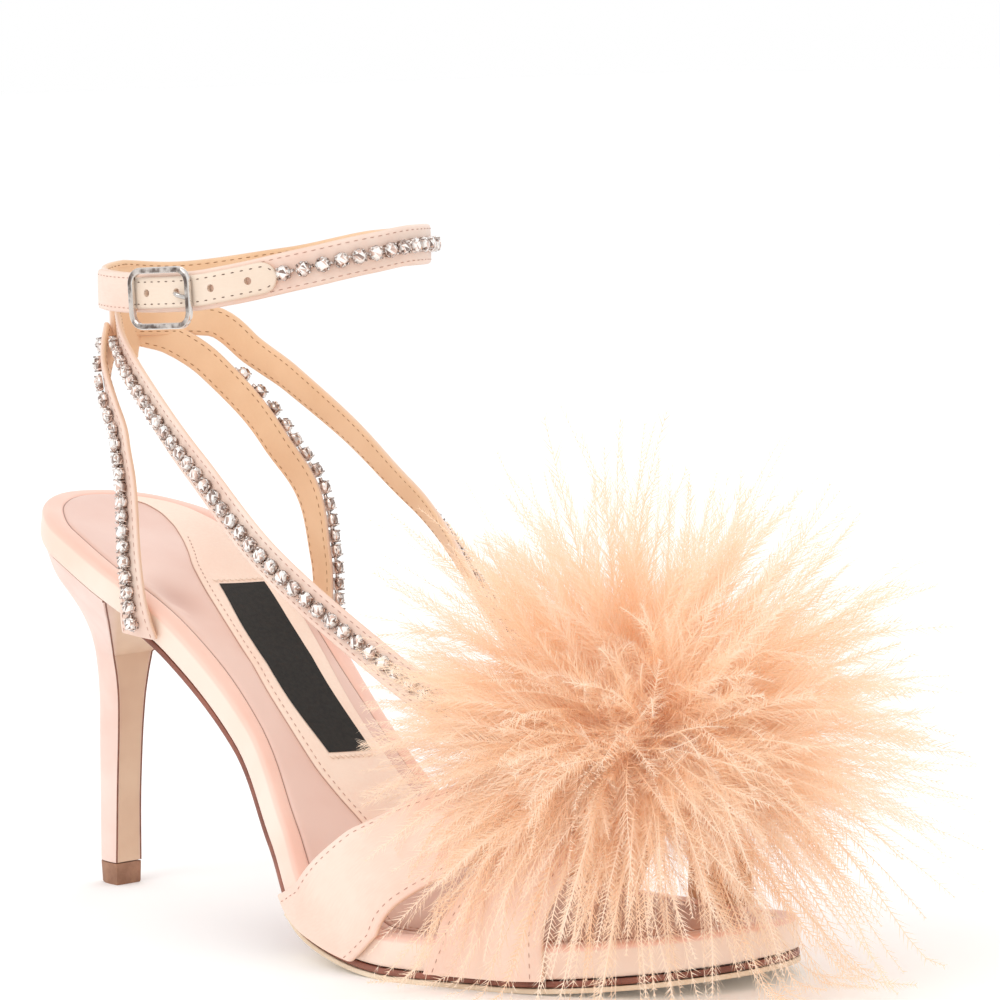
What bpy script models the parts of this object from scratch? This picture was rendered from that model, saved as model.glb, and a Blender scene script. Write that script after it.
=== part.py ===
# Dress sandal, right shoe: a satin sandal on a slender covered heel, with crossed vamp
# straps under a feather pompom and four crystal-edged straps up to a buckled ankle strap.
#
# Metres, +Z up. The toe points along +X and the outer side of the foot along -Y.
# The origin lies on the floor under the middle of the heel's top piece.
# Along the foot, places are given as a share of the footbed's length: 0 back, 1 toe.

import bpy
import bmesh
import math
from mathutils import Matrix, Vector

# Driving sizes of the footbed and soles
FOOTBED_LENGTH = 0.248
SEAT_HEIGHT = 0.0957
HEEL_SETBACK = 0.0138
BALL_WIDTH = 0.0762
FOOTBED_THICKNESS = 0.0073
RIM_ROUND = 0.0022
SOCK_THICKNESS = 0.0010
SOCK_STAND = 0.0002
HEEL_CUP_DEPTH = 0.0022
CUP_END = 0.35
EDGE_ROUND = 0.0012
SOCK_EDGE = 0.0004
BOARD_THICKNESS = 0.0013
OUTSOLE_THICKNESS = 0.0011
BOARD_SETBACK = 0.0012
OUTSOLE_SETBACK = 0.0004
BOARD_START = 0.245
OUTSOLE_START = 0.60
GAP = 0.0003
STRAP_CLEARANCE = 0.0004

# Driving sizes of the heel
HEEL_SHANK_WIDTH = 0.0076
HEEL_TIP_HEIGHT = 0.0056
TIP_DRAW = 0.95
HEEL_NECK_SHARE = 0.596
BREAST_SHARE = 0.205
HEEL_SEAT_INSET = 0.0010
HEEL_SQUARE = 0.80

# Driving sizes of the straps
STRAP_THICKNESS = 0.0014
SLING_WIDTH = 0.0074
ANKLE_WIDTH = 0.0092
ANKLE_HEIGHT = 0.1480
ANKLE_LONG_HALF = 0.0418
ANKLE_SHORT_HALF = 0.0290
ANKLE_CENTRE_FORWARD = 0.0540
ANKLE_CENTRE_INWARD = 0.0065
ANKLE_TURN = 14.0
OUTER_HEEL_STRAP_SHARE = 0.268
INNER_HEEL_STRAP_SHARE = 0.328
INSTEP_STRAP_SHARE = 0.845
OUTER_INSTEP_AROUND = -0.14
INNER_INSTEP_AROUND = 0.00
FRONT_VAMP_LIFT = 0.85
STAY_WIDTH = 0.0105
STAY_THICKNESS = 0.0022
STAY_DROP = 0.0190
STAY_RISE = 0.30
HEEL_JOIN_DROP = 0.0150
INSTEP_JOIN_DROP = 0.0100
JOIN_SPREAD = 0.0022

# Driving sizes of the buckle and its tab
TAB_THICKNESS = 0.0012
TAB_WIDTH = 0.0082
TAB_LENGTH = 0.0555
HOLE_PITCH = 0.0092
HOLE_RADIUS = 0.0009
BUCKLE_LENGTH = 0.0195
BUCKLE_HEIGHT = 0.0144
BUCKLE_WIRE = 0.0015
BUCKLE_CORNER = 0.0032
BUCKLE_TURN = 0.224
BUCKLE_SAG = 0.0012
TAB_BEHIND = 0.0260
TAB_TIP = 0.25
HOLE_COUNT = 4
PRONG_HOLE = 0.50
PRONG_RADIUS = 0.0006

# Driving sizes of the crystal chains
STONE_PITCH = 0.0042
STONE_WIDTH = 0.0032
STONE_HEIGHT = 0.0024
LINK_WIDTH = 0.0014
LINK_HEIGHT = 0.0009
CHAIN_CLEARANCE = 0.0001
HEEL_CHAIN = (0.03, 0.90)
INSTEP_CHAIN = (0.05, 0.95)
ANKLE_CHAIN = (0.375, 0.93)

# Driving sizes of the pompom
POMPOM_CORE_RADIUS = 0.0110
POMPOM_REACH = 0.0600
POMPOM_PLACE = 0.885
POMPOM_CORE_FLAT = 0.75
LOCK_COUNT = 46
LOCK_LOWEST = -0.10
LOCK_SIDES = 4
LOCK_DROOP = 0.55
LOCK_VARIATION = 0.12
LOCK_BEAT = 2.4
LOCK_CLEARANCE = 0.0015
LOCK_LIFT = 0.10
LOCK_TRIES = 14

# The foot's own form: where its round top meets its upright sides, and how full it is
LAST_SHOULDER = 0.82
LAST_FULLNESS = 0.85

# How finely the forms are cut
OUTLINE_STATIONS = 44
LAYER_STATIONS = 36
RIM_STEPS = 3
BED_COLUMNS = 3
HEEL_STATIONS = 12
BREAST_COLUMNS = 4
VAMP_STATIONS = 24
VAMP_COLUMNS = 5
INSTEP_STATIONS = 34
HEEL_STRAP_STATIONS = 24
ANKLE_STATIONS = 64
TAB_STATIONS = 16
CORNER_STEPS = 4
WIRE_RESOLUTION = 2
CORE_DIVISIONS = 2

# Footbed walk: share along, downward slope in degrees
SLOPES = (
    (0.00, 9.0),
    (0.16, 21.0),
    (0.30, 36.5),
    (0.45, 45.5),
    (0.58, 36.5),
    (0.675, 12.0),
    (0.735, 0.0),
    (0.82, 0.0),
    (0.90, -5.0),
    (1.00, -7.5),
)

# Footbed outline: share along, outer and inner edge as shares of the ball width
OUTLINE = (
    (0.000, 0.000, 0.000),
    (0.012, -0.120, 0.136),
    (0.050, -0.243, 0.250),
    (0.110, -0.334, 0.321),
    (0.190, -0.367, 0.335),
    (0.300, -0.312, 0.284),
    (0.420, -0.284, 0.250),
    (0.530, -0.367, 0.276),
    (0.640, -0.489, 0.407),
    (0.720, -0.490, 0.492),
    (0.800, -0.424, 0.510),
    (0.880, -0.330, 0.490),
    (0.950, -0.185, 0.445),
    (0.985, -0.030, 0.350),
    (1.000, 0.160, 0.160),
)

# Sock outline: share along, outer and inner edge as shares of the ball width
SOCK_OUTLINE = (
    (0.030, 0.000, 0.000),
    (0.045, -0.130, 0.140),
    (0.100, -0.250, 0.240),
    (0.190, -0.290, 0.262),
    (0.300, -0.180, 0.190),
    (0.420, -0.140, 0.142),
    (0.530, -0.175, 0.170),
    (0.640, -0.330, 0.310),
    (0.720, -0.400, 0.400),
    (0.800, -0.340, 0.425),
    (0.880, -0.240, 0.400),
    (0.935, -0.110, 0.330),
    (0.960, 0.130, 0.130),
)

# Foot above the footbed: share along, height of the last as a share of the ball width
LAST_HEIGHTS = (
    (0.45, 0.86),
    (0.60, 0.68),
    (0.68, 0.577),
    (0.76, 0.472),
    (0.84, 0.394),
    (0.92, 0.341),
    (1.00, 0.289),
)

# Rear vamp strap: place round the last (-1 outer floor edge, 0 top, 1 inner floor edge),
# rear edge and front edge as shares along, lift above the last as a share of thickness
REAR_VAMP = (
    (-1.00, 0.588, 0.697, 0.0),
    (-0.80, 0.610, 0.733, 0.0),
    (-0.64, 0.655, 0.790, 0.0),
    (-0.50, 0.715, 0.832, 0.0),
    (-0.25, 0.772, 0.872, 0.0),
    (0.00, 0.800, 0.892, 0.0),
    (0.30, 0.812, 0.902, 0.0),
    (0.60, 0.806, 0.898, 0.0),
    (0.80, 0.798, 0.886, 0.0),
    (1.00, 0.792, 0.878, 0.0),
)
FRONT_VAMP = (
    (-1.00, 0.775, 0.884, 0.0),
    (-0.80, 0.790, 0.886, 0.0),
    (-0.62, 0.818, 0.900, 0.3),
    (-0.45, 0.826, 0.912, 0.85),
    (-0.25, 0.822, 0.915, 0.85),
    (0.00, 0.800, 0.902, 0.85),
    (0.30, 0.752, 0.864, 0.85),
    (0.50, 0.705, 0.818, 0.5),
    (0.80, 0.640, 0.742, 0.0),
    (1.00, 0.615, 0.715, 0.0),
)

# Sling straps between the foot end (0) and the ankle end (1): share of the span, bow
# forward, bow outward and bow upward as shares of the span, then the way the strap
# faces in degrees (0 forward, 90 outer side, 180 back) and its upward lean
OUTER_HEEL_STRAP = (
    (0.00, 0.000, 0.000, 0.000, 79, 0),
    (0.09, 0.050, 0.052, 0.000, 80, 0),
    (0.29, 0.105, 0.100, 0.000, 88, 0),
    (0.54, 0.146, 0.121, -0.003, 102, 4),
    (0.67, 0.160, 0.139, -0.005, 112, 6),
    (0.78, 0.124, 0.135, -0.007, 124, 7),
    (0.89, 0.068, 0.116, 0.004, 142, 6),
    (0.97, 0.025, 0.067, 0.023, 160, 2),
    (1.00, 0.000, 0.035, 0.025, 168, 0),
)
INNER_HEEL_STRAP = (
    (0.00, 0.000, 0.000, 0.000, 82, 0),
    (0.09, 0.017, 0.033, 0.009, 83, 0),
    (0.29, 0.083, 0.103, 0.012, 88, 0),
    (0.54, 0.150, 0.155, 0.008, 102, 4),
    (0.67, 0.160, 0.143, 0.004, 112, 6),
    (0.78, 0.124, 0.157, 0.007, 124, 7),
    (0.89, 0.068, 0.146, 0.019, 142, 6),
    (0.97, 0.025, 0.087, 0.029, 160, 2),
    (1.00, 0.000, 0.035, 0.025, 168, 0),
)
OUTER_INSTEP_STRAP = (
    (0.00, 0.000, 0.000, 0.000, 74, 68),
    (0.12, 0.000, 0.055, -0.003, 76, 48),
    (0.26, 0.000, 0.090, -0.004, 80, 32),
    (0.49, 0.000, 0.119, -0.001, 85, 18),
    (0.67, 0.000, 0.105, 0.009, 92, 12),
    (0.83, 0.000, 0.075, 0.010, 106, 6),
    (0.93, 0.000, 0.041, 0.009, 132, 2),
    (1.00, 0.000, 0.000, 0.000, 158, 0),
)
INNER_INSTEP_STRAP = (
    (0.00, 0.000, 0.000, 0.000, 74, 68),
    (0.12, -0.038, 0.020, 0.037, 76, 48),
    (0.26, -0.080, 0.080, 0.056, 80, 32),
    (0.49, -0.069, 0.142, 0.045, 85, 18),
    (0.67, -0.029, 0.147, 0.027, 90, 12),
    (0.83, 0.003, 0.143, 0.007, 102, 6),
    (0.92, 0.018, 0.129, -0.002, 122, 2),
    (0.97, 0.023, 0.102, 0.009, 142, 0),
    (1.00, 0.000, 0.000, 0.000, 165, 0),
)

# Heel stem: share of the height from top piece to neck, then breast, half width and
# back as shares of the stem's width
HEEL_ROWS = (
    (0.00, 0.49, 0.50, -0.70),
    (0.30, 0.60, 0.48, -0.66),
    (0.57, 0.76, 0.49, -0.60),
    (0.77, 0.90, 0.54, -0.52),
    (0.89, 0.98, 0.64, -0.48),
    (1.00, 1.04, 0.80, -0.45),
)

# Heel cup: share of the rise from neck to seat, then how far the back and the breast
# have reached the seat's outline
CUP_ROWS = (
    (0.00, 0.00, 0.00),
    (0.15, 0.03, 0.13),
    (0.29, 0.12, 0.26),
    (0.44, 0.31, 0.40),
    (0.60, 0.62, 0.56),
    (0.76, 0.88, 0.76),
    (1.00, 1.00, 1.00),
)

# Height of the ankle strap round its turn (0 back, quarter at the outer side) as a
# share of its width
ANKLE_RISE = (
    (0.00, 0.00),
    (0.18, -0.15),
    (0.25, -0.08),
    (0.29, 0.08),
    (0.36, 0.46),
    (0.43, 0.78),
    (0.50, 0.94),
    (0.70, 0.66),
    (0.80, 0.20),
    (0.92, -0.12),
    (1.00, 0.00),
)

# Pompom lock: share of its reach, half width there as a share of the pompom's reach
LOCK_SHAPE = (
    (0.08, 0.050),
    (0.30, 0.085),
    (0.62, 0.125),
    (0.88, 0.090),
    (1.00, 0.025),
)


def table_value(rows, column, share):
    """Smooth value of one column of a table at a share, without overshoot."""
    places = [row[0] for row in rows]
    values = [row[column] for row in rows]
    share = min(max(share, places[0]), places[-1])
    spans = [b - a for a, b in zip(places, places[1:])]
    rises = [(b - a) / span for a, b, span in zip(values, values[1:], spans)]
    leans = [rises[0]]
    for before, after in zip(rises, rises[1:]):
        same_way = before * after > 0.0
        leans.append(2.0 * before * after / (before + after) if same_way else 0.0)
    leans.append(rises[-1])
    index = max(i for i in range(len(spans)) if share >= places[i] - 1e-9)
    span = spans[index]
    t = (share - places[index]) / span
    return (
        values[index] * (2 * t ** 3 - 3 * t ** 2 + 1)
        + leans[index] * span * (t ** 3 - 2 * t ** 2 + t)
        + values[index + 1] * (3 * t ** 2 - 2 * t ** 3)
        + leans[index + 1] * span * (t ** 3 - t ** 2)
    )


def rounded_share(share):
    """Stretches the two ends of the walk, so that the outline is round there."""
    return math.acos(1.0 - 2.0 * min(max(share, 0.0), 1.0)) / math.pi


def round_table(rows):
    """The table with its places stretched as rounded_share does."""
    return tuple((rounded_share(row[0]),) + tuple(row[1:]) for row in rows)


def rounded_value(rows, column, share):
    """Smooth value of an outline's column, round at the table's two ends."""
    first, last = rows[0][0], rows[-1][0]
    local = tuple(((row[0] - first) / (last - first),) + tuple(row[1:]) for row in rows)
    place = (share - first) / (last - first)
    return table_value(round_table(local), column, rounded_share(place))


BALL_HEIGHT = FOOTBED_THICKNESS + BOARD_THICKNESS + OUTSOLE_THICKNESS + 2.0 * GAP
WALK_STEPS = 400


def walk_with(gain):
    """Steps of the footbed's top line for one gain of the downward slopes."""
    step = FOOTBED_LENGTH / WALK_STEPS
    walk = [(0.0, 0.0, 0.0)]
    for index in range(WALK_STEPS):
        angle = table_value(SLOPES, 1, (index + 0.5) / WALK_STEPS)
        angle = math.radians(angle * gain if angle > 0.0 else angle)
        _, forward, height = walk[-1]
        walk.append((angle, forward + step * math.cos(angle), height - step * math.sin(angle)))
    return walk


def footbed_walk():
    """The top line whose drop from seat to ball is the one that the seat height asks for."""
    wanted = SEAT_HEIGHT - BALL_HEIGHT
    low, high = 0.2, 1.8
    for _ in range(40):
        gain = (low + high) / 2.0
        drop = -min(point[2] for point in walk_with(gain))
        low, high = (gain, high) if drop < wanted else (low, gain)
    return walk_with(gain), gain


WALK, SLOPE_GAIN = footbed_walk()


def bed_point(along, across, above):
    """Point at a length along the footbed, a distance across it and a height over its top."""
    place = min(max(along / FOOTBED_LENGTH, -0.02), 1.02) * WALK_STEPS
    index = min(max(int(place), 0), WALK_STEPS - 1)
    t = place - index
    angle = math.radians(slope_at(along / FOOTBED_LENGTH))
    before, after = WALK[index], WALK[index + 1]
    forward = before[1] + (after[1] - before[1]) * t - HEEL_SETBACK
    height = before[2] + (after[2] - before[2]) * t + SEAT_HEIGHT
    return Vector((
        forward + above * math.sin(angle),
        across,
        height + above * math.cos(angle),
    ))


def slope_at(share):
    """Downward slope of the footbed in degrees at a share of its length."""
    angle = table_value(SLOPES, 1, share)
    return angle * SLOPE_GAIN if angle > 0.0 else angle


def edges_at(share):
    """Outer and inner edge of the footbed at a share of its length."""
    outer = rounded_value(OUTLINE, 1, share) * BALL_WIDTH
    inner = rounded_value(OUTLINE, 2, share) * BALL_WIDTH
    return outer, inner


def last_point(share, around, above):
    """Point on the foot's own form, around it from the outer floor edge (-1) to the inner (1)."""
    outer, inner = edges_at(share)
    middle = (outer + inner) / 2.0
    half = (inner - outer) / 2.0 + above
    side = 1.0 if around >= 0.0 else -1.0
    along = share * FOOTBED_LENGTH
    if abs(around) > LAST_SHOULDER:
        down = (abs(around) - LAST_SHOULDER) / (1.0 - LAST_SHOULDER)
        return bed_point(along, middle + side * half, -FOOTBED_THICKNESS * down)
    height = table_value(LAST_HEIGHTS, 1, share) * BALL_WIDTH + above
    turn = abs(around) / LAST_SHOULDER * math.pi / 2.0
    across = half * math.sin(turn) ** LAST_FULLNESS
    up = height * max(math.cos(turn), 0.0) ** LAST_FULLNESS
    return bed_point(along, middle + side * across, up)


def outline_ring(rows, start, stop, inset, above, count):
    """Loop of places on the footbed: the outer edge forward, then the inner edge back."""
    scale = BALL_WIDTH
    closed = start <= rows[0][0]
    outer, inner = [], []
    for index in range(count + 1):
        if closed:
            t = (1.0 - math.cos(math.pi * index / count)) / 2.0
        else:
            t = math.sin(math.pi / 2.0 * index / count)
        share = start + (stop - start) * t
        along = share * FOOTBED_LENGTH
        outer.append((along, rounded_value(rows, 1, share) * scale))
        inner.append((along, rounded_value(rows, 2, share) * scale))
    back = inner[1:-1] if closed else inner[:-1]
    loop = outer + back[::-1]
    return [(x, y, above) for x, y in inset_loop(loop, inset)]


def inset_loop(loop, inset):
    """Moves each place of a loop inward by a distance, square to the loop."""
    moved = []
    count = len(loop)
    for index in range(count):
        before, here, after = loop[index - 1], loop[index], loop[(index + 1) % count]
        along, across = after[0] - before[0], after[1] - before[1]
        length = math.hypot(along, across)
        moved.append((here[0] - across / length * inset, here[1] + along / length * inset))
    return moved


def cup_depth(along, across_share):
    """How far the seat is dished at a place, across from 0 at one edge to 1 at the other."""
    seat = max(0.0, 1.0 - along / FOOTBED_LENGTH / CUP_END)
    bowl = 1.0 - (2.0 * across_share - 1.0) ** 2
    return HEEL_CUP_DEPTH * seat ** 0.5 * bowl if seat > 0.0 else 0.0


def add_ring(mesh, ring):
    """Makes the vertices of a ring of footbed places."""
    return [mesh.verts.new(bed_point(*place)) for place in ring]


def bridge(mesh, lower, upper):
    """Joins two closed rings of as many vertices by a band of faces."""
    count = len(lower)
    for index in range(count):
        after = (index + 1) % count
        mesh.faces.new((lower[index], lower[after], upper[after], upper[index]))


def cap(mesh, ring, vertices, columns, dish, closed):
    """Fills a ring with strips from its outer to its inner side, dished if asked."""
    count = len(ring)
    pairs = range(1, count // 2) if closed else range(0, count // 2)
    rows = []
    for index in pairs:
        partner = (count - index) % count if closed else count - 1 - index
        row = [vertices[index]]
        for column in range(1, columns):
            t = column / columns
            along = ring[index][0] + (ring[partner][0] - ring[index][0]) * t
            across = ring[index][1] + (ring[partner][1] - ring[index][1]) * t
            above = ring[index][2] - (cup_depth(along, t) if dish else 0.0)
            row.append(mesh.verts.new(bed_point(along, across, above)))
        row.append(vertices[partner])
        rows.append(row)
    for row, after in zip(rows, rows[1:]):
        for column in range(columns):
            mesh.faces.new((row[column], row[column + 1], after[column + 1], after[column]))
    toe = vertices[count // 2]
    for column in range(columns):
        mesh.faces.new((rows[-1][column], rows[-1][column + 1], toe))
    if closed:
        for column in range(columns):
            mesh.faces.new((vertices[0], rows[0][column + 1], rows[0][column]))


def material(name, colour, roughness, metallic=0.0):
    """One plain Principled BSDF material."""
    made = bpy.data.materials.new(name)
    made.use_nodes = True
    shader = made.node_tree.nodes["Principled BSDF"]
    shader.inputs["Base Color"].default_value = (*colour, 1.0)
    shader.inputs["Roughness"].default_value = roughness
    shader.inputs["Metallic"].default_value = metallic
    return made


def finish(mesh, name, finish_material, collection, smooth=35.0):
    """Turns a bmesh into a named object with its faces pointing out."""
    bmesh.ops.remove_doubles(mesh, verts=mesh.verts, dist=1e-6)
    bmesh.ops.recalc_face_normals(mesh, faces=mesh.faces)
    data = bpy.data.meshes.new(name)
    mesh.to_mesh(data)
    mesh.free()
    data.materials.append(finish_material)
    data.shade_smooth()
    data.set_sharp_from_angle(angle=math.radians(smooth))
    made = bpy.data.objects.new(name, data)
    collection.objects.link(made)
    return made


def make_footbed(collection, satin):
    """The wrapped platform: side wall, rounded rim and a shallow bed for the sock."""
    mesh = bmesh.new()
    count = OUTLINE_STATIONS
    floor = -FOOTBED_THICKNESS
    rings = [
        outline_ring(OUTLINE, 0.0, 1.0, EDGE_ROUND, floor, count),
        outline_ring(OUTLINE, 0.0, 1.0, 0.0, floor + EDGE_ROUND, count),
    ]
    for step in range(RIM_STEPS + 1):
        turn = math.pi / 2.0 * step / RIM_STEPS
        inset = RIM_ROUND * (1.0 - math.cos(turn))
        above = RIM_ROUND * (math.sin(turn) - 1.0)
        rings.append(outline_ring(OUTLINE, 0.0, 1.0, inset, above, count))
    sock = outline_ring(SOCK_OUTLINE, SOCK_OUTLINE[0][0], SOCK_OUTLINE[-1][0], -GAP, 0.0, count)
    rim = rings[-1]
    for t in (0.5, 1.0):
        rings.append([
            tuple(a + (b - a) * t for a, b in zip(place, goal)) for place, goal in zip(rim, sock)
        ])
    recess = SOCK_STAND - SOCK_THICKNESS - GAP
    rings.append([(x, y, recess) for x, y, _ in sock])
    loops = [add_ring(mesh, ring) for ring in rings]
    for lower, upper in zip(loops, loops[1:]):
        bridge(mesh, lower, upper)
    cap(mesh, rings[0], loops[0], 1, False, True)
    cap(mesh, rings[-1], loops[-1], BED_COLUMNS, True, True)
    return finish(mesh, "footbed", satin, collection)


def make_sock(collection, lining):
    """The sock lining that lies in the footbed's shallow bed."""
    mesh = bmesh.new()
    start, stop = SOCK_OUTLINE[0][0], SOCK_OUTLINE[-1][0]
    count = OUTLINE_STATIONS
    low = SOCK_STAND - SOCK_THICKNESS
    rings = [
        outline_ring(SOCK_OUTLINE, start, stop, 0.0, low, count),
        outline_ring(SOCK_OUTLINE, start, stop, 0.0, SOCK_STAND - SOCK_EDGE, count),
        outline_ring(SOCK_OUTLINE, start, stop, SOCK_EDGE, SOCK_STAND, count),
    ]
    loops = [add_ring(mesh, ring) for ring in rings]
    for lower, upper in zip(loops, loops[1:]):
        bridge(mesh, lower, upper)
    cap(mesh, rings[0], loops[0], BED_COLUMNS, True, True)
    cap(mesh, rings[-1], loops[-1], BED_COLUMNS, True, True)
    return finish(mesh, "insole_sock", lining, collection)


def make_layer(name, start, setback, top, thickness, collection, layer_material):
    """A thin sole layer under the footbed, from a share of its length to the toe."""
    mesh = bmesh.new()
    count = LAYER_STATIONS
    rings = [
        outline_ring(OUTLINE, start, 1.0, setback, top - thickness, count),
        outline_ring(OUTLINE, start, 1.0, setback, top, count),
    ]
    loops = [add_ring(mesh, ring) for ring in rings]
    bridge(mesh, loops[0], loops[1])
    cap(mesh, rings[0], loops[0], 1, False, False)
    cap(mesh, rings[1], loops[1], 1, False, False)
    return finish(mesh, name, layer_material, collection)


def seat_ring():
    """Top ring of the heel: the footbed's underside from breast to back to breast."""
    points = []
    for index in range(-HEEL_STATIONS, HEEL_STATIONS + 1):
        share = BREAST_SHARE * (1.0 - math.cos(math.pi / 2.0 * index / HEEL_STATIONS))
        points.append((share, index))
    places = []
    for share, index in points:
        outer, inner = edges_at(share)
        places.append((share * FOOTBED_LENGTH, outer if index < 0 else inner))
    places[HEEL_STATIONS] = (0.0, 0.0)
    places.reverse()
    moved = inset_loop(places, HEEL_SEAT_INSET)
    moved[0] = (places[0][0], places[0][1] - HEEL_SEAT_INSET)
    moved[-1] = (places[-1][0], places[-1][1] + HEEL_SEAT_INSET)
    under = -(FOOTBED_THICKNESS + GAP)
    return [bed_point(x, y, under) for x, y in moved]


def shank_ring(row):
    """Ring of the heel's stem: a flat breast and a rounded back."""
    rise, breast, half, back = row
    neck = HEEL_NECK_SHARE * SEAT_HEIGHT
    height = HEEL_TIP_HEIGHT + rise * (neck - HEEL_TIP_HEIGHT)
    width = HEEL_SHANK_WIDTH
    points = []
    for index in range(-HEEL_STATIONS, HEEL_STATIONS + 1):
        turn = math.pi / 2.0 * index / HEEL_STATIONS
        across = -math.copysign(abs(math.sin(turn)) ** HEEL_SQUARE, index) * half
        depth = math.cos(turn) ** HEEL_SQUARE
        points.append(Vector((
            (breast - (breast - back) * depth) * width,
            across * width,
            height,
        )))
    return points


def with_breast(points):
    """Adds the places across the flat breast to a ring that ends at its two corners."""
    first, last = points[0], points[-1]
    steps = BREAST_COLUMNS
    return points + [last.lerp(first, step / steps) for step in range(1, steps)]


def make_heel(collection, satin):
    """The covered heel: a cup under the seat that draws in to a slender stem."""
    mesh = bmesh.new()
    seat = seat_ring()
    neck = shank_ring(HEEL_ROWS[-1])
    rings = [shank_ring(row) for row in HEEL_ROWS]
    for rise, back_share, breast_share in CUP_ROWS[1:]:
        ring = []
        for index, (low, high) in enumerate(zip(neck, seat)):
            turn = abs(index - HEEL_STATIONS) / HEEL_STATIONS
            plan = back_share + (breast_share - back_share) * turn
            point = low.lerp(high, plan)
            point.z = low.z + (high.z - low.z) * rise
            ring.append(point)
        rings.append(ring)
    loops = [[mesh.verts.new(point) for point in with_breast(ring)] for ring in rings]
    for lower, upper in zip(loops, loops[1:]):
        bridge(mesh, lower, upper)
    mesh.faces.new(loops[0])
    close_seat(mesh, loops[-1])
    return finish(mesh, "heel", satin, collection)


def close_seat(mesh, loop):
    """Closes the heel's top with strips across it, so that it follows the footbed."""
    half = HEEL_STATIONS
    front = [loop[0], loop[1], loop[2 * half - 1]] + loop[2 * half:]
    mesh.faces.new(front)
    for index in range(1, half):
        left, right = loop[index], loop[2 * half - index]
        next_left, next_right = loop[index + 1], loop[2 * half - index - 1]
        if index + 1 < half:
            mesh.faces.new((left, next_left, next_right, right))
        else:
            mesh.faces.new((left, next_left, right))


def make_heel_tip(collection, rubber):
    """The hard top piece that meets the floor."""
    mesh = bmesh.new()
    row = HEEL_ROWS[0]
    top = with_breast(shank_ring(row))
    rings = []
    for height, draw in ((0.0, TIP_DRAW), (HEEL_TIP_HEIGHT - GAP, 1.0)):
        ring = [Vector((point.x * draw, point.y * draw, height)) for point in top]
        rings.append(ring)
    loops = [[mesh.verts.new(point) for point in ring] for ring in rings]
    bridge(mesh, loops[0], loops[1])
    mesh.faces.new(loops[0])
    mesh.faces.new(loops[1])
    return finish(mesh, "heel_tip", rubber, collection)


def ribbon(name, stations, thickness, closed, strap_material, collection):
    """A flat strap swept through stations of centre, way along, way out and width."""
    mesh = bmesh.new()
    loops = []
    for centre, along, out, width in stations:
        out = (out - along * out.dot(along)).normalized()
        side = out.cross(along)
        loop = []
        for across, depth in ((-0.5, -0.5), (0.5, -0.5), (0.5, 0.5), (-0.5, 0.5)):
            loop.append(mesh.verts.new(centre + side * width * across + out * thickness * depth))
        loops.append(loop)
    for before, after in zip(loops, loops[1:]):
        bridge(mesh, before, after)
    if closed:
        bridge(mesh, loops[-1], loops[0])
    else:
        mesh.faces.new(loops[0])
        mesh.faces.new(loops[-1])
    return finish(mesh, name, strap_material, collection, 50.0)


def facing(turn, lean):
    """Direction from a turn (0 forward, 90 outer side, 180 back) and an upward lean."""
    turn, lean = math.radians(turn), math.radians(lean)
    flat = math.cos(lean)
    return Vector((flat * math.cos(turn), -flat * math.sin(turn), math.sin(lean)))


def ankle_point(turn):
    """Middle of the ankle strap at a turn: 0 at the back, a quarter at the outer side."""
    angle = math.pi + 2.0 * math.pi * turn
    lean = math.radians(ANKLE_TURN)
    long_way = ANKLE_LONG_HALF * math.cos(angle)
    short_way = ANKLE_SHORT_HALF * math.sin(angle)
    rise = table_value(ANKLE_RISE, 1, turn % 1.0) * ANKLE_WIDTH
    return Vector((
        ANKLE_CENTRE_FORWARD + long_way * math.cos(lean) - short_way * math.sin(lean),
        ANKLE_CENTRE_INWARD + long_way * math.sin(lean) + short_way * math.cos(lean),
        ANKLE_HEIGHT + rise,
    ))


def ankle_station(turn, offset, width):
    """Station on the ankle strap, moved out from its middle layer."""
    step = 0.002
    here = ankle_point(turn)
    along = (ankle_point(turn + step) - ankle_point(turn - step)).normalized()
    out = along.cross(Vector((0.0, 0.0, 1.0))).normalized()
    return here + out * offset, along, out, width


def junction(side):
    """Where the sling straps of one side meet the stay at the back of the ankle."""
    here, _, out, _ = ankle_station(0.0, 0.0, SLING_WIDTH)
    across = Vector((out.y, -out.x, 0.0)) * side
    return here, out, across


def strap_frame(rows, side, foot, ankle, place):
    """Centre and way out of a sling strap at a place between its foot and ankle ends."""
    span = (ankle - foot).length
    middle = foot.lerp(ankle, place)
    bow = Vector((
        table_value(rows, 1, place),
        side * table_value(rows, 2, place),
        table_value(rows, 3, place),
    ))
    out = facing(table_value(rows, 4, place), table_value(rows, 5, place))
    out.y *= -side
    return middle + bow * span, out


def sling_station(strap, place, offset, width):
    """Station of a sling strap, moved out from its middle layer."""
    rows, side, foot, ankle = strap
    step = 0.01
    before, _ = strap_frame(rows, side, foot, ankle, max(place - step, 0.0))
    after, _ = strap_frame(rows, side, foot, ankle, min(place + step, 1.0))
    here, out = strap_frame(rows, side, foot, ankle, place)
    along = (after - before).normalized()
    out = (out - along * out.dot(along)).normalized()
    return here + out * offset, along, out, width


def heel_strap(side):
    """Table, side and ends of a heel strap, from the footbed's side to the ankle stay."""
    rows = OUTER_HEEL_STRAP if side < 0.0 else INNER_HEEL_STRAP
    share = OUTER_HEEL_STRAP_SHARE if side < 0.0 else INNER_HEEL_STRAP_SHARE
    foot = last_point(share, side, STRAP_CLEARANCE + STRAP_THICKNESS / 2.0)
    here, _, across = junction(side)
    ankle = here - Vector((0.0, 0.0, HEEL_JOIN_DROP)) + across * JOIN_SPREAD
    return rows, side, foot, ankle


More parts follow.
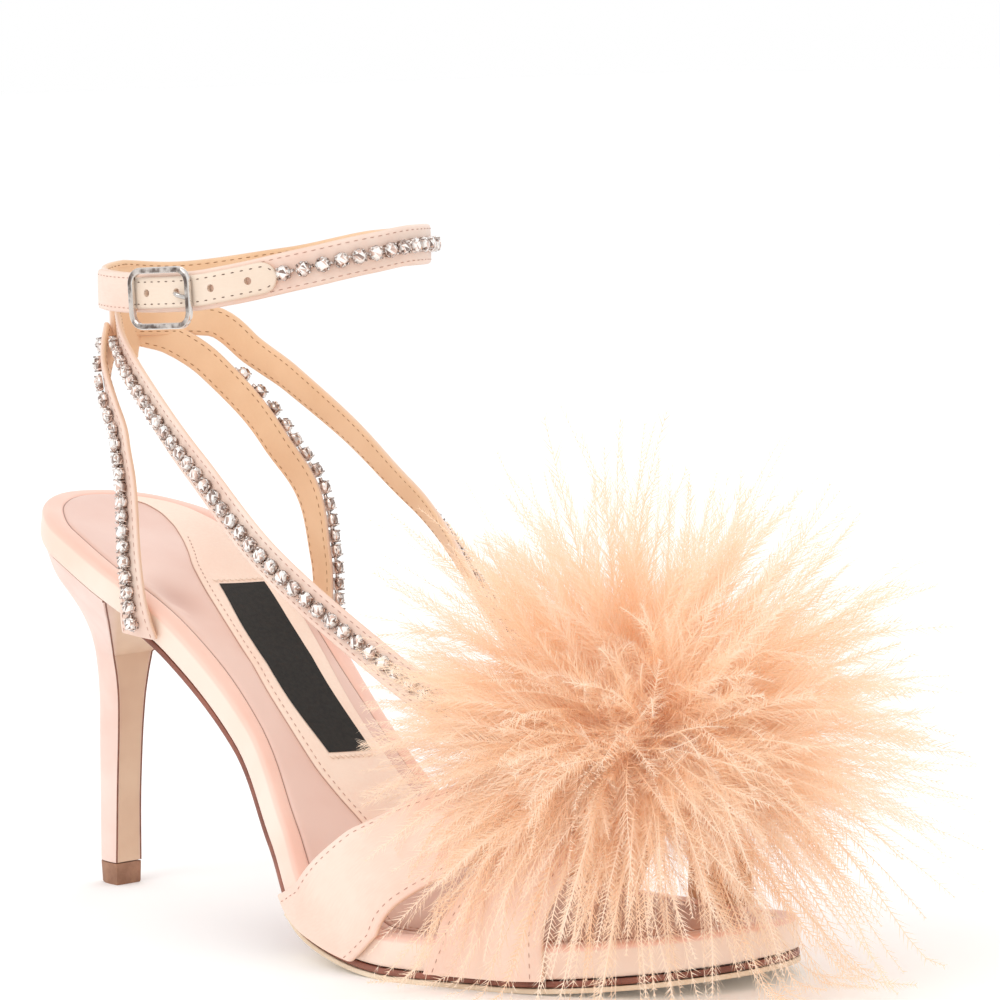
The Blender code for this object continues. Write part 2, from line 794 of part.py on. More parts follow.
def instep_strap(side):
    """Table, side and ends of an instep strap, from the crossed vamp to the ankle stay."""
    rows = OUTER_INSTEP_STRAP if side < 0.0 else INNER_INSTEP_STRAP
    around = OUTER_INSTEP_AROUND if side < 0.0 else INNER_INSTEP_AROUND
    above = STRAP_CLEARANCE + STRAP_THICKNESS * (1.0 + FRONT_VAMP_LIFT)
    foot = last_point(INSTEP_STRAP_SHARE, around, above)
    here, _, across = junction(side)
    ankle = here - Vector((0.0, 0.0, INSTEP_JOIN_DROP)) + across * JOIN_SPREAD
    return rows, side, foot, ankle


def vamp_strap(name, rows, collection, satin):
    """A wide strap cut from the last's own form, from floor edge to floor edge."""
    mesh = bmesh.new()
    sheets = []
    for layer in (0.0, 1.0):
        grid = []
        for index in range(VAMP_STATIONS + 1):
            around = -1.0 + 2.0 * index / VAMP_STATIONS
            rear = table_value(rows, 1, around)
            front = table_value(rows, 2, around)
            lift = table_value(rows, 3, around) * STRAP_THICKNESS
            above = STRAP_CLEARANCE + lift + layer * STRAP_THICKNESS
            line = []
            for column in range(VAMP_COLUMNS + 1):
                share = rear + (front - rear) * column / VAMP_COLUMNS
                line.append(mesh.verts.new(last_point(share, around, above)))
            grid.append(line)
        sheets.append(grid)
    inner, outer = sheets
    for grid in sheets:
        for line, after in zip(grid, grid[1:]):
            for column in range(VAMP_COLUMNS):
                corners = (line[column], line[column + 1], after[column + 1], after[column])
                mesh.faces.new(corners)
    rim_inner, rim_outer = grid_rim(inner), grid_rim(outer)
    bridge(mesh, rim_inner, rim_outer)
    return finish(mesh, name, satin, collection, 50.0)


def grid_rim(grid):
    """The vertices round the edge of a grid, in order."""
    left = [line[0] for line in grid]
    right = [line[-1] for line in grid]
    return left[:-1] + grid[-1][:-1] + right[::-1][:-1] + grid[0][::-1][:-1]


def join(base, others):
    """Joins solids to a base with Boolean unions, and keeps them as hidden cutters."""
    for other in others:
        modifier = base.modifiers.new("join_" + other.name, "BOOLEAN")
        modifier.operation = "UNION"
        modifier.solver = "EXACT"
        modifier.object = other
        other.hide_render = True
        other.display_type = "WIRE"


def make_straps(parts, cutters, satin):
    """All the straps of the upper, joined where they cross and where they meet."""
    upper = vamp_strap("upper_straps", REAR_VAMP, parts, satin)
    others = [vamp_strap("front_vamp_strap", FRONT_VAMP, cutters, satin)]
    for label, side in (("outer", -1.0), ("inner", 1.0)):
        for kind, strap, count in (
            ("instep", instep_strap(side), INSTEP_STATIONS),
            ("heel", heel_strap(side), HEEL_STRAP_STATIONS),
        ):
            stations = [
                sling_station(strap, index / count, 0.0, SLING_WIDTH) for index in range(count + 1)
            ]
            name = label + "_" + kind + "_strap"
            others.append(ribbon(name, stations, STRAP_THICKNESS, False, satin, cutters))
    others.append(ribbon("ankle_stay", stay_stations(), STAY_THICKNESS, False, satin, cutters))
    ring = [
        ankle_station(index / ANKLE_STATIONS, 0.0, ANKLE_WIDTH) for index in range(ANKLE_STATIONS)
    ]
    others.append(ribbon("ankle_strap", ring, STRAP_THICKNESS, True, satin, cutters))
    join(upper, others)
    return upper


def stay_stations():
    """The short upright stay at the back of the ankle, where the straps meet."""
    here, _, out, _ = ankle_station(0.0, 0.0, STAY_WIDTH)
    up = Vector((0.0, 0.0, 1.0))
    low, high = here - up * STAY_DROP, here + up * ANKLE_WIDTH * STAY_RISE
    return [(low, up, out, STAY_WIDTH), (high, up, out, STAY_WIDTH)]


def chain(name, station, start, stop, length, collection, crystal):
    """A chain of set stones: a ribbon that widens and rises at each stone."""
    count = max(2, round(length / STONE_PITCH))
    mesh = bmesh.new()
    loops = []
    for index in range(2 * count + 1):
        place = start + (stop - start) * index / (2 * count)
        stone = index % 2 == 1
        width = STONE_WIDTH if stone else LINK_WIDTH
        height = STONE_HEIGHT if stone else LINK_HEIGHT
        centre, along, out, _ = station(place)
        out = (out - along * out.dot(along)).normalized()
        side = out.cross(along)
        base = centre + out * (STRAP_THICKNESS / 2.0 + GAP + CHAIN_CLEARANCE)
        loop = []
        for across, rise in ((-0.5, 0.0), (0.5, 0.0), (0.5, 1.0), (-0.5, 1.0)):
            loop.append(mesh.verts.new(base + side * width * across + out * height * rise))
        loops.append(loop)
    for before, after in zip(loops, loops[1:]):
        bridge(mesh, before, after)
    mesh.faces.new(loops[0])
    mesh.faces.new(loops[-1])
    return finish(mesh, name, crystal, collection, 20.0)


def way_length(station, start, stop):
    """Length of a strap's middle line between two places."""
    steps = 40
    points = [station(start + (stop - start) * index / steps)[0] for index in range(steps + 1)]
    return sum((after - before).length for before, after in zip(points, points[1:]))


def make_chains(parts, crystal):
    """The crystal chain of each sling strap and of the front of the ankle strap."""
    for label, side in (("outer", -1.0), ("inner", 1.0)):
        for kind, strap, start, stop in (
            ("instep", instep_strap(side), *INSTEP_CHAIN),
            ("heel", heel_strap(side), *HEEL_CHAIN),
        ):
            station = lambda place, strap=strap: sling_station(strap, place, 0.0, SLING_WIDTH)
            length = way_length(station, start, stop)
            name = label + "_" + kind + "_chain"
            chain(name, station, start, stop, length, parts, crystal)
    station = lambda turn: ankle_station(turn, 0.0, ANKLE_WIDTH)
    length = way_length(station, *ANKLE_CHAIN)
    chain("ankle_chain", station, *ANKLE_CHAIN, length, parts, crystal)


def turn_beyond(turn, length):
    """Turn of the ankle strap that lies a length further round than another."""
    steps = 40
    for _ in range(steps):
        near = 0.001
        speed = (ankle_point(turn + near) - ankle_point(turn - near)).length / (2.0 * near)
        turn += length / steps / speed
    return turn


def make_tab(parts, cutters, satin):
    """The punched end of the ankle strap, lying on it through the buckle."""
    start = turn_beyond(BUCKLE_TURN, -TAB_BEHIND)
    offset = STRAP_THICKNESS / 2.0 + GAP + TAB_THICKNESS / 2.0
    stations = []
    for index in range(TAB_STATIONS + 1):
        place = math.sin(math.pi / 2.0 * index / TAB_STATIONS)
        turn = turn_beyond(start, TAB_LENGTH * place)
        left = (1.0 - place) * TAB_LENGTH
        radius = TAB_WIDTH / 2.0
        short = max(radius - left, 0.0)
        width = 2.0 * math.sqrt(max(radius ** 2 - short ** 2, (radius * TAB_TIP) ** 2))
        stations.append(ankle_station(turn, offset, width))
    tab = ribbon("ankle_tab", stations, TAB_THICKNESS, False, satin, parts)
    for number in range(HOLE_COUNT):
        turn = turn_beyond(BUCKLE_TURN, (number - 1 + PRONG_HOLE) * HOLE_PITCH)
        centre, along, out, _ = ankle_station(turn, offset, 0.0)
        cut = bmesh.new()
        turned = out.to_track_quat("Z", "Y").to_matrix().to_4x4()
        bmesh.ops.create_cone(
            cut,
            cap_ends=True,
            segments=10,
            radius1=HOLE_RADIUS,
            radius2=HOLE_RADIUS,
            depth=TAB_THICKNESS * 4.0,
            matrix=Matrix.Translation(centre) @ turned,
        )
        punch = finish(cut, "tab_hole_%d" % number, satin, cutters)
        punch.hide_render = True
        punch.display_type = "WIRE"
        modifier = tab.modifiers.new("hole_%d" % number, "BOOLEAN")
        modifier.operation = "DIFFERENCE"
        modifier.solver = "EXACT"
        modifier.object = punch
    return tab


def buckle_frame_axes():
    """Middle of the buckle and its ways along, up and out."""
    centre, along, out, _ = ankle_station(BUCKLE_TURN, 0.0, 0.0)
    up = out.cross(along)
    if up.z < 0.0:
        up = -up
    layer = STRAP_THICKNESS / 2.0 + GAP + TAB_THICKNESS + GAP + BUCKLE_WIRE / 2.0
    heights = []
    for reach in (0.5, -0.5):
        turn = turn_beyond(BUCKLE_TURN, reach * (BUCKLE_LENGTH - 2.0 * BUCKLE_WIRE))
        place, _, _, _ = ankle_station(turn, layer, 0.0)
        heights.append((place - centre).dot(out))
    return centre + out * max(heights) - up * BUCKLE_SAG, along, up, out


def make_buckle(parts, steel):
    """The frame of round-cornered wire and its prong."""
    centre, along, up, out = buckle_frame_axes()
    half_long = (BUCKLE_LENGTH - BUCKLE_WIRE) / 2.0
    half_high = (BUCKLE_HEIGHT - BUCKLE_WIRE) / 2.0
    corner = BUCKLE_CORNER
    points = []
    for quarter, (x_side, y_side) in enumerate(((1, 1), (-1, 1), (-1, -1), (1, -1))):
        for step in range(CORNER_STEPS + 1):
            angle = math.pi / 2.0 * (quarter + step / CORNER_STEPS)
            x = x_side * (half_long - corner) + corner * math.cos(angle)
            y = y_side * (half_high - corner) + corner * math.sin(angle)
            points.append(centre + along * x + up * y)
    wire("buckle_frame", points, BUCKLE_WIRE / 2.0, True, parts, steel)
    bar = centre + along * (half_long - BUCKLE_WIRE / 2.0 - GAP)
    layer = STRAP_THICKNESS / 2.0 + GAP + TAB_THICKNESS + GAP + PRONG_RADIUS
    hole_turn = turn_beyond(BUCKLE_TURN, PRONG_HOLE * HOLE_PITCH)
    tip, _, _, _ = ankle_station(hole_turn, layer, 0.0)
    bend = bar.lerp(tip, 0.5)
    floor, _, _, _ = ankle_station((hole_turn + BUCKLE_TURN) / 2.0, layer, 0.0)
    bend = bend + out * max(0.0, (floor - bend).dot(out))
    wire("buckle_prong", [bar, bend, tip], PRONG_RADIUS, False, parts, steel)


def wire(name, points, radius, closed, collection, wire_material):
    """A round wire through points, made a mesh with its ends welded."""
    data = bpy.data.curves.new(name + "_line", "CURVE")
    data.dimensions = "3D"
    data.bevel_depth = radius
    data.bevel_resolution = WIRE_RESOLUTION
    data.use_fill_caps = True
    spline = data.splines.new("POLY")
    spline.points.add(len(points) - 1)
    for place, point in zip(spline.points, points):
        place.co = (*point, 1.0)
    spline.use_cyclic_u = closed
    line = bpy.data.objects.new(name + "_line", data)
    collection.objects.link(line)
    bpy.context.view_layer.update()
    shape = bpy.data.meshes.new_from_object(line.evaluated_get(bpy.context.evaluated_depsgraph_get()))
    mesh = bmesh.new()
    mesh.from_mesh(shape)
    bpy.data.objects.remove(line)
    return finish(mesh, name, wire_material, collection)


def make_pompom(parts, cutters, feather):
    """A soft core with drooping locks fused on all round its upper side."""
    above = STRAP_CLEARANCE + GAP + STRAP_THICKNESS * (1.0 + FRONT_VAMP_LIFT)
    rest = last_point(POMPOM_PLACE, 0.0, above)
    centre = rest + Vector((0.0, 0.0, POMPOM_CORE_RADIUS * POMPOM_CORE_FLAT))
    core = bmesh.new()
    bmesh.ops.create_icosphere(core, subdivisions=CORE_DIVISIONS, radius=POMPOM_CORE_RADIUS)
    bmesh.ops.scale(core, vec=(1.0, 1.0, POMPOM_CORE_FLAT), verts=core.verts)
    bmesh.ops.translate(core, vec=centre, verts=core.verts)
    pompom = finish(core, "pompom", feather, parts, 25.0)
    mesh = bmesh.new()
    near = neighbours_of_pompom()
    for number in range(LOCK_COUNT):
        reach = POMPOM_REACH * (1.0 + LOCK_VARIATION * math.sin(number * LOCK_BEAT))
        way = clear_way(lock_way(number), reach, centre, near)
        if way:
            grow_lock(mesh, way, reach, centre)
    locks = finish(mesh, "pompom_locks", feather, cutters, 25.0)
    join(pompom, [locks])
    pompom.modifiers[0].use_self = True
    return pompom


def lock_way(number):
    """Direction of one lock: spread evenly from straight up to just below level."""
    height = 1.0 - (1.0 - LOCK_LOWEST) * (number + 0.5) / LOCK_COUNT
    golden = math.pi * (3.0 - math.sqrt(5.0))
    flat = math.sqrt(1.0 - height ** 2)
    return Vector((flat * math.cos(number * golden), flat * math.sin(number * golden), height))


def neighbours_of_pompom():
    """Points on the straps, the vamp and the footbed's edge that the locks stay clear of."""
    points = []
    for side in (-1.0, 1.0):
        for index in range(30):
            points.append(sling_station(instep_strap(side), index / 50.0, STONE_HEIGHT, 0.0)[0])
    top = STRAP_THICKNESS * 2.0 + GAP
    for column in range(14):
        share = OUTSOLE_START + (1.0 - OUTSOLE_START) * column / 13.0
        for row in range(13):
            if share < 0.93 or row in (0, 1, 11, 12):
                points.append(last_point(share, row / 6.0 - 1.0, top))
    return points


def lock_place(way, reach, share, centre):
    """Point on a lock's middle line, which droops the more the flatter it sets out."""
    flat = math.hypot(way.x, way.y)
    goal = centre + way * reach * share
    goal.z -= LOCK_DROOP * reach * share ** 2 * flat
    return goal


def clear_way(way, reach, centre, near):
    """The lock's way, lifted until the lock clears its neighbours, or nothing."""
    for _ in range(LOCK_TRIES):
        clear = True
        for share in (0.25, 0.40, 0.55, 0.70, 0.85, 1.0):
            place = lock_place(way, reach, share, centre)
            room = table_value(LOCK_SHAPE, 1, share) * POMPOM_REACH + LOCK_CLEARANCE
            if place.z < room or any((place - other).length < room for other in near):
                clear = False
        if clear:
            return way
        way = (way + Vector((0.0, 0.0, LOCK_LIFT))).normalized()
    return None


def grow_lock(mesh, way, reach, centre):
    """One closed lock that swells, thins and droops, from stations of its shape's table."""
    side = way.orthogonal().normalized()
    other = way.cross(side)
    loops = []
    for share, spread in LOCK_SHAPE:
        place = lock_place(way, reach, share, centre)
        loop = []
        for corner in range(LOCK_SIDES):
            turn = 2.0 * math.pi * corner / LOCK_SIDES
            off = side * math.cos(turn) + other * math.sin(turn)
            loop.append(mesh.verts.new(place + off * spread * POMPOM_REACH))
        loops.append(loop)
    for before, after in zip(loops, loops[1:]):
        bridge(mesh, before, after)
    mesh.faces.new(loops[0])
    mesh.faces.new(loops[-1])


def clear_scene():
    """Removes what the scene holds."""
    for old in list(bpy.data.objects):
        bpy.data.objects.remove(old)


def main():
    """Builds the sandal's pieces in their own collection."""
    clear_scene()
    parts = bpy.data.collections.new("dress_sandal")
    cutters = bpy.data.collections.new("cutters")
    cutters.hide_render = True
    bpy.context.scene.collection.children.link(parts)
    bpy.context.scene.collection.children.link(cutters)
    satin = material("blush_satin", (0.90, 0.74, 0.64), 0.42)
    lining = material("sock_lining", (0.84, 0.66, 0.58), 0.55)
    board = material("sole_edge_brown", (0.34, 0.16, 0.11), 0.60)
    sole = material("cream_outsole", (0.87, 0.78, 0.68), 0.55)
    rubber = material("top_piece_brown", (0.30, 0.17, 0.10), 0.50)
    steel = material("polished_steel", (0.78, 0.77, 0.75), 0.15, 1.0)
    crystal = material("crystal", (0.82, 0.78, 0.78), 0.08)
    feather = material("peach_feather", (0.90, 0.62, 0.40), 0.85)
    make_footbed(parts, satin)
    make_sock(parts, lining)
    top = -(FOOTBED_THICKNESS + GAP)
    make_layer("sole_board", BOARD_START, BOARD_SETBACK, top, BOARD_THICKNESS, parts, board)
    top -= BOARD_THICKNESS + GAP
    make_layer("outsole", OUTSOLE_START, OUTSOLE_SETBACK, top, OUTSOLE_THICKNESS, parts, sole)
    make_heel(parts, satin)
    make_heel_tip(parts, rubber)
    make_straps(parts, cutters, satin)
    make_chains(parts, crystal)
    make_tab(parts, cutters, satin)
    make_buckle(parts, steel)
    make_pompom(parts, cutters, feather)


main()
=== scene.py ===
# %% [markdown]
# # A blush satin dress sandal with a feather pompom
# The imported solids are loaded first. They fix the size and the place of every piece, and
# what follows lays finer pieces over them: satin, linings, seams, set stones and feathers.
# Loading comes first because the box of the solids is the limit that the looks stay in.

# %% Load the fixed frame
import math

import bmesh
import bpy
import numpy as np
from mathutils import Matrix, Vector


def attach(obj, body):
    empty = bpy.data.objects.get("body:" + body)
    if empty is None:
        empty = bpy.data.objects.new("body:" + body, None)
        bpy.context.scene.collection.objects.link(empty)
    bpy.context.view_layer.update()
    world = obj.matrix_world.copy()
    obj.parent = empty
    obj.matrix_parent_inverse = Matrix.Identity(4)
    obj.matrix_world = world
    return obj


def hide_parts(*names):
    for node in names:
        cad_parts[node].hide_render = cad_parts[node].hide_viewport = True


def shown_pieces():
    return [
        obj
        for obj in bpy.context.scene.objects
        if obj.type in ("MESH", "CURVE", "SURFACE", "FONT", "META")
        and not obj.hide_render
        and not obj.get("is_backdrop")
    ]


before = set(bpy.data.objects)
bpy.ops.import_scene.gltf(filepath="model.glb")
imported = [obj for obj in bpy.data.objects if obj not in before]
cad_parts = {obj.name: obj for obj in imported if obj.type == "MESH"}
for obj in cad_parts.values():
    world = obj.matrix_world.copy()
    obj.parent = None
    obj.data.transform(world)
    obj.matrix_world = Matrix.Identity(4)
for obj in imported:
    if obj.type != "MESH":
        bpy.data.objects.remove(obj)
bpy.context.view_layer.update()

print("solids:", sorted(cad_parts))

# %% [markdown]
# ## Camera, floor and light
# A catalogue picture is taken with a long lens, so lines stay nearly parallel. The camera
# is placed by its spot and the spot that it looks at, then rolled a little. White paper on
# the floor and one wide soft light give the bright ground with its faint shadow.

# %% Camera
MM = 0.001
camera_spot = Vector((0.8996, -0.6951, 0.2051))
aimed_at = Vector((0.0850, 0.0510, 0.0945))
forward = (aimed_at - camera_spot).normalized()
level = forward.cross(Vector((0.0, 0.0, 1.0))).normalized()
upright = level.cross(forward)
roll = math.radians(-1.312)
right = level * math.cos(roll) + upright * math.sin(roll)
top = upright * math.cos(roll) - level * math.sin(roll)
lens = bpy.data.cameras.new("studio_camera")
lens.sensor_width = 36.0
lens.lens = 168.96
lens.clip_start = 0.05
lens.clip_end = 100.0
camera = bpy.data.objects.new("studio_camera", lens)
bpy.context.scene.collection.objects.link(camera)
turned = Matrix((right, top, -forward)).transposed().to_4x4()
camera.matrix_world = Matrix.Translation(camera_spot) @ turned
bpy.context.scene.camera = camera
bpy.context.scene.view_settings.view_transform = "Standard"
print("camera", round((aimed_at - camera_spot).length, 3), "m away")

# %% [markdown]
# ## Colours and shader arithmetic
# Shades are written as they look on a screen, 0 to 255, and turned to the linear values
# that Blender works in. One small class lets a socket take part in sums, so that a mask is
# written as an expression, and one method adds any other node.


# %% Shader helpers
def tint(red, green, blue):
    """A screen shade, 0 to 255, as a linear colour with full alpha."""
    linear = []
    for part in (red, green, blue):
        share = part / 255.0
        linear.append(share / 12.92 if share <= 0.04045 else ((share + 0.055) / 1.055) ** 2.4)
    return (*linear, 1.0)


class Term:
    """A socket that takes part in Python arithmetic."""

    def __init__(self, paint, socket):
        self.paint = paint
        self.socket = socket

    def math(self, operation, first, second=0.0):
        values = {0: first, 1: second}
        return self.paint.node("ShaderNodeMath", {"operation": operation}, values)

    def __add__(self, other):
        return self.math("ADD", self, other)

    def __radd__(self, other):
        return self.math("ADD", other, self)

    def __sub__(self, other):
        return self.math("SUBTRACT", self, other)

    def __rsub__(self, other):
        return self.math("SUBTRACT", other, self)

    def __mul__(self, other):
        return self.math("MULTIPLY", self, other)

    def __rmul__(self, other):
        return self.math("MULTIPLY", other, self)


class Paint:
    """One material, with a method for any node and a few that are used often."""

    def __init__(self, name):
        self.material = bpy.data.materials.new(name)
        self.material.use_nodes = True
        self.tree = self.material.node_tree
        self.surface = self.tree.nodes["Principled BSDF"]

    def node(self, kind, settings=None, values=None, output=0):
        made = self.tree.nodes.new(kind)
        for key, value in (settings or {}).items():
            setattr(made, key, value)
        for key, value in (values or {}).items():
            if isinstance(value, Term):
                self.tree.links.new(value.socket, made.inputs[key])
            else:
                made.inputs[key].default_value = value
        return Term(self, made.outputs[output])

    def mask(self, name):
        return self.node("ShaderNodeAttribute", {"attribute_name": name}, None, 2)

    def place(self):
        return self.node("ShaderNodeTexCoord", None, None, 3)

    def cloth(self):
        return self.node("ShaderNodeUVMap", {"uv_map": "UVMap"})

    def noise(self, place, scale, detail=2.0, roughness=0.5):
        values = {"Vector": place, "Scale": scale, "Detail": detail, "Roughness": roughness}
        return self.node("ShaderNodeTexNoise", None, values)

    def stretched(self, place, scale):
        return self.node("ShaderNodeMapping", None, {"Vector": place, "Scale": scale})

    def band(self, value, low, high):
        """0 below low, 1 above high, smooth between."""
        values = {0: value, 1: low, 2: high, 3: 0.0, 4: 1.0}
        return self.node("ShaderNodeMapRange", {"interpolation_type": "SMOOTHSTEP"}, values)

    def mixed(self, share, low, high):
        values = {0: share, 6: low, 7: high}
        settings = {"data_type": "RGBA", "blend_type": "MIX"}
        return self.node("ShaderNodeMix", settings, values, 2)

    def finish(self, colour, roughness, height=None, relief=0.3, depth=0.0002, **fixed):
        """Feeds the surface, with a bump if a height is given, and returns the material."""
        for key, value in (("Base Color", colour), ("Roughness", roughness)):
            socket = self.surface.inputs[key]
            if isinstance(value, Term):
                self.tree.links.new(value.socket, socket)
            else:
                socket.default_value = value
        if height is not None:
            values = {"Height": height, "Strength": relief, "Distance": depth}
            bump = self.node("ShaderNodeBump", None, values)
            self.tree.links.new(bump.socket, self.surface.inputs["Normal"])
        for key, value in fixed.items():
            self.surface.inputs[key.replace("_", " ")].default_value = value
        return self.material


# %% Floor and lights
def soft_light(name, spot, goal, size, power, shade):
    """A square area light that looks at a spot."""
    data = bpy.data.lights.new(name, "AREA")
    data.shape = "SQUARE"
    data.size = size
    data.energy = power
    data.color = shade
    made = bpy.data.objects.new(name, data)
    made.location = spot
    made.rotation_euler = (Vector(goal) - Vector(spot)).to_track_quat("-Z", "Y").to_euler()
    bpy.context.scene.collection.objects.link(made)


soft_light("key_softbox", (0.10, -1.10, 1.30), (0.10, 0.0, 0.05), 0.9, 5.5, (1.0, 0.985, 0.97))
soft_light("back_softbox", (-0.50, 1.10, 0.90), (0.08, 0.0, 0.05), 0.8, 2.0, (1.0, 0.99, 0.98))

studio = bpy.data.worlds.new("studio_white")
studio.use_nodes = True
studio.node_tree.nodes["Background"].inputs["Color"].default_value = (1.0, 1.0, 1.0, 1.0)
studio.node_tree.nodes["Background"].inputs["Strength"].default_value = 1.0
bpy.context.scene.world = studio

paper = Paint("white_paper")
paper_grain = paper.noise(paper.place(), 3.0, 3.0)
paper_shade = paper.mixed(paper_grain, tint(252, 252, 251), tint(255, 255, 255))
paper_white = paper.finish(paper_shade, 0.9, Emission_Strength=0.04, Emission_Color=(1, 1, 1, 1))

floor_mesh = bmesh.new()
bmesh.ops.create_grid(floor_mesh, x_segments=8, y_segments=8, size=14.0)
floor_data = bpy.data.meshes.new("studio_floor")
floor_mesh.to_mesh(floor_data)
floor_mesh.free()
floor_data.materials.append(paper_white)
floor = bpy.data.objects.new("studio_floor", floor_data)
bpy.context.scene.collection.objects.link(floor)
floor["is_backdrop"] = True
print("floor and lights placed")

# %% [markdown]
# ## The shape of the footbed
# A heeled footbed is a curve seen from the side and an outline seen from above. Both are
# short tables, read smoothly. The solids were made from the same tables, so a place given
# as a length along, a distance across and a height above lands on them exactly.

# %% Sizes shared with the solids
FOOTBED_LENGTH = 0.248
SEAT_HEIGHT = 0.0957
HEEL_SETBACK = 0.0138
BALL_WIDTH = 0.0762
FOOTBED_THICKNESS = 0.0073
BOARD_THICKNESS = 0.0013
OUTSOLE_THICKNESS = 0.0011
BOARD_SETBACK = 0.0012
OUTSOLE_SETBACK = 0.0004
BOARD_START = 0.245
OUTSOLE_START = 0.60
GAP = 0.0003
STRAP_CLEARANCE = 0.0004
STRAP_THICKNESS = 0.0014
SLOPES = (
    (0.00, 9.0), (0.16, 21.0), (0.30, 36.5), (0.45, 45.5), (0.58, 36.5),
    (0.675, 12.0), (0.735, 0.0), (0.82, 0.0), (0.90, -5.0), (1.00, -7.5),
)
OUTLINE = (
    (0.000, 0.000, 0.000), (0.012, -0.120, 0.136), (0.050, -0.243, 0.250),
    (0.110, -0.334, 0.321), (0.190, -0.367, 0.335), (0.300, -0.312, 0.284),
    (0.420, -0.284, 0.250), (0.530, -0.367, 0.276), (0.640, -0.489, 0.407),
    (0.720, -0.490, 0.492), (0.800, -0.424, 0.510), (0.880, -0.330, 0.490),
    (0.950, -0.185, 0.445), (0.985, -0.030, 0.350), (1.000, 0.160, 0.160),
)
SOCK_OUTLINE = (
    (0.030, 0.000, 0.000), (0.045, -0.130, 0.140), (0.100, -0.250, 0.240),
    (0.190, -0.290, 0.262), (0.300, -0.180, 0.190), (0.420, -0.140, 0.142),
    (0.530, -0.175, 0.170), (0.640, -0.330, 0.310), (0.720, -0.400, 0.400),
    (0.800, -0.340, 0.425), (0.880, -0.240, 0.400), (0.935, -0.110, 0.330),
    (0.960, 0.130, 0.130),
)
LAST_HEIGHTS = (
    (0.45, 0.86), (0.60, 0.68), (0.68, 0.577), (0.76, 0.472), (0.84, 0.394),
    (0.92, 0.341), (1.00, 0.289),
)
LAST_SHOULDER = 0.82
LAST_FULLNESS = 0.85
WALK_STEPS = 400


# %% Reading the tables
def table_value(rows, column, share):
    """Smooth value of one column of a table at a share, without overshoot."""
    places = [row[0] for row in rows]
    values = [row[column] for row in rows]
    share = min(max(share, places[0]), places[-1])
    spans = [b - a for a, b in zip(places, places[1:])]
    rises = [(b - a) / span for a, b, span in zip(values, values[1:], spans)]
    leans = [rises[0]]
    for before, after in zip(rises, rises[1:]):
        same_way = before * after > 0.0
        leans.append(2.0 * before * after / (before + after) if same_way else 0.0)
    leans.append(rises[-1])
    index = max(i for i in range(len(spans)) if share >= places[i] - 1e-9)
    span = spans[index]
    t = (share - places[index]) / span
    return (
        values[index] * (2 * t ** 3 - 3 * t ** 2 + 1)
        + leans[index] * span * (t ** 3 - 2 * t ** 2 + t)
        + values[index + 1] * (3 * t ** 2 - 2 * t ** 3)
        + leans[index + 1] * span * (t ** 3 - t ** 2)
    )


def rounded_share(share):
    """Stretches the two ends, so that an outline is round there."""
    return math.acos(1.0 - 2.0 * min(max(share, 0.0), 1.0)) / math.pi


def rounded_rows(rows):
    """A table with its places stretched to run from 0 to 1, round at both ends."""
    first, last = rows[0][0], rows[-1][0]
    return tuple(
        (rounded_share((row[0] - first) / (last - first)),) + tuple(row[1:]) for row in rows
    )


ROUND_TABLES = {id(rows): rounded_rows(rows) for rows in (OUTLINE, SOCK_OUTLINE)}


def rounded_value(rows, column, share):
    """Smooth value of an outline's column, round at the table's two ends."""
    first, last = rows[0][0], rows[-1][0]
    place = (share - first) / (last - first)
    return table_value(ROUND_TABLES[id(rows)], column, rounded_share(place))


def ease(value, low, high):
    """0 below low, 1 above high, smooth between."""
    t = min(max((value - low) / (high - low), 0.0), 1.0)
    return t * t * (3.0 - 2.0 * t)


# %% Walking along the footbed
def walk_with(gain):
    """Steps of the footbed's top line for one gain of the downward slopes."""
    step = FOOTBED_LENGTH / WALK_STEPS
    walk = [(0.0, 0.0)]
    for index in range(WALK_STEPS):
        angle = table_value(SLOPES, 1, (index + 0.5) / WALK_STEPS)
        angle = math.radians(angle * gain if angle > 0.0 else angle)
        forward_so_far, height = walk[-1]
        walk.append((forward_so_far + step * math.cos(angle), height - step * math.sin(angle)))
    return walk


ball_height = FOOTBED_THICKNESS + BOARD_THICKNESS + OUTSOLE_THICKNESS + 2.0 * GAP
low_gain, high_gain = 0.2, 1.8
for _ in range(40):
    SLOPE_GAIN = (low_gain + high_gain) / 2.0
    if -min(height for _, height in walk_with(SLOPE_GAIN)) < SEAT_HEIGHT - ball_height:
        low_gain = SLOPE_GAIN
    else:
        high_gain = SLOPE_GAIN
WALK = walk_with(SLOPE_GAIN)


def bed_point(along, across, above):
    """Point at a length along the footbed, a distance across it and a height over its top."""
    place = min(max(along / FOOTBED_LENGTH, -0.02), 1.02) * WALK_STEPS
    index = min(max(int(place), 0), WALK_STEPS - 1)
    t = place - index
    slope = table_value(SLOPES, 1, along / FOOTBED_LENGTH)
    angle = math.radians(slope * SLOPE_GAIN if slope > 0.0 else slope)
    before, after = WALK[index], WALK[index + 1]
    ahead = before[0] + (after[0] - before[0]) * t - HEEL_SETBACK
    height = before[1] + (after[1] - before[1]) * t + SEAT_HEIGHT
    return Vector((ahead + above * math.sin(angle), across, height + above * math.cos(angle)))


def edges_at(share):
    """Outer and inner edge of the footbed at a share of its length."""
    outer = rounded_value(OUTLINE, 1, share) * BALL_WIDTH
    inner = rounded_value(OUTLINE, 2, share) * BALL_WIDTH
    return outer, inner


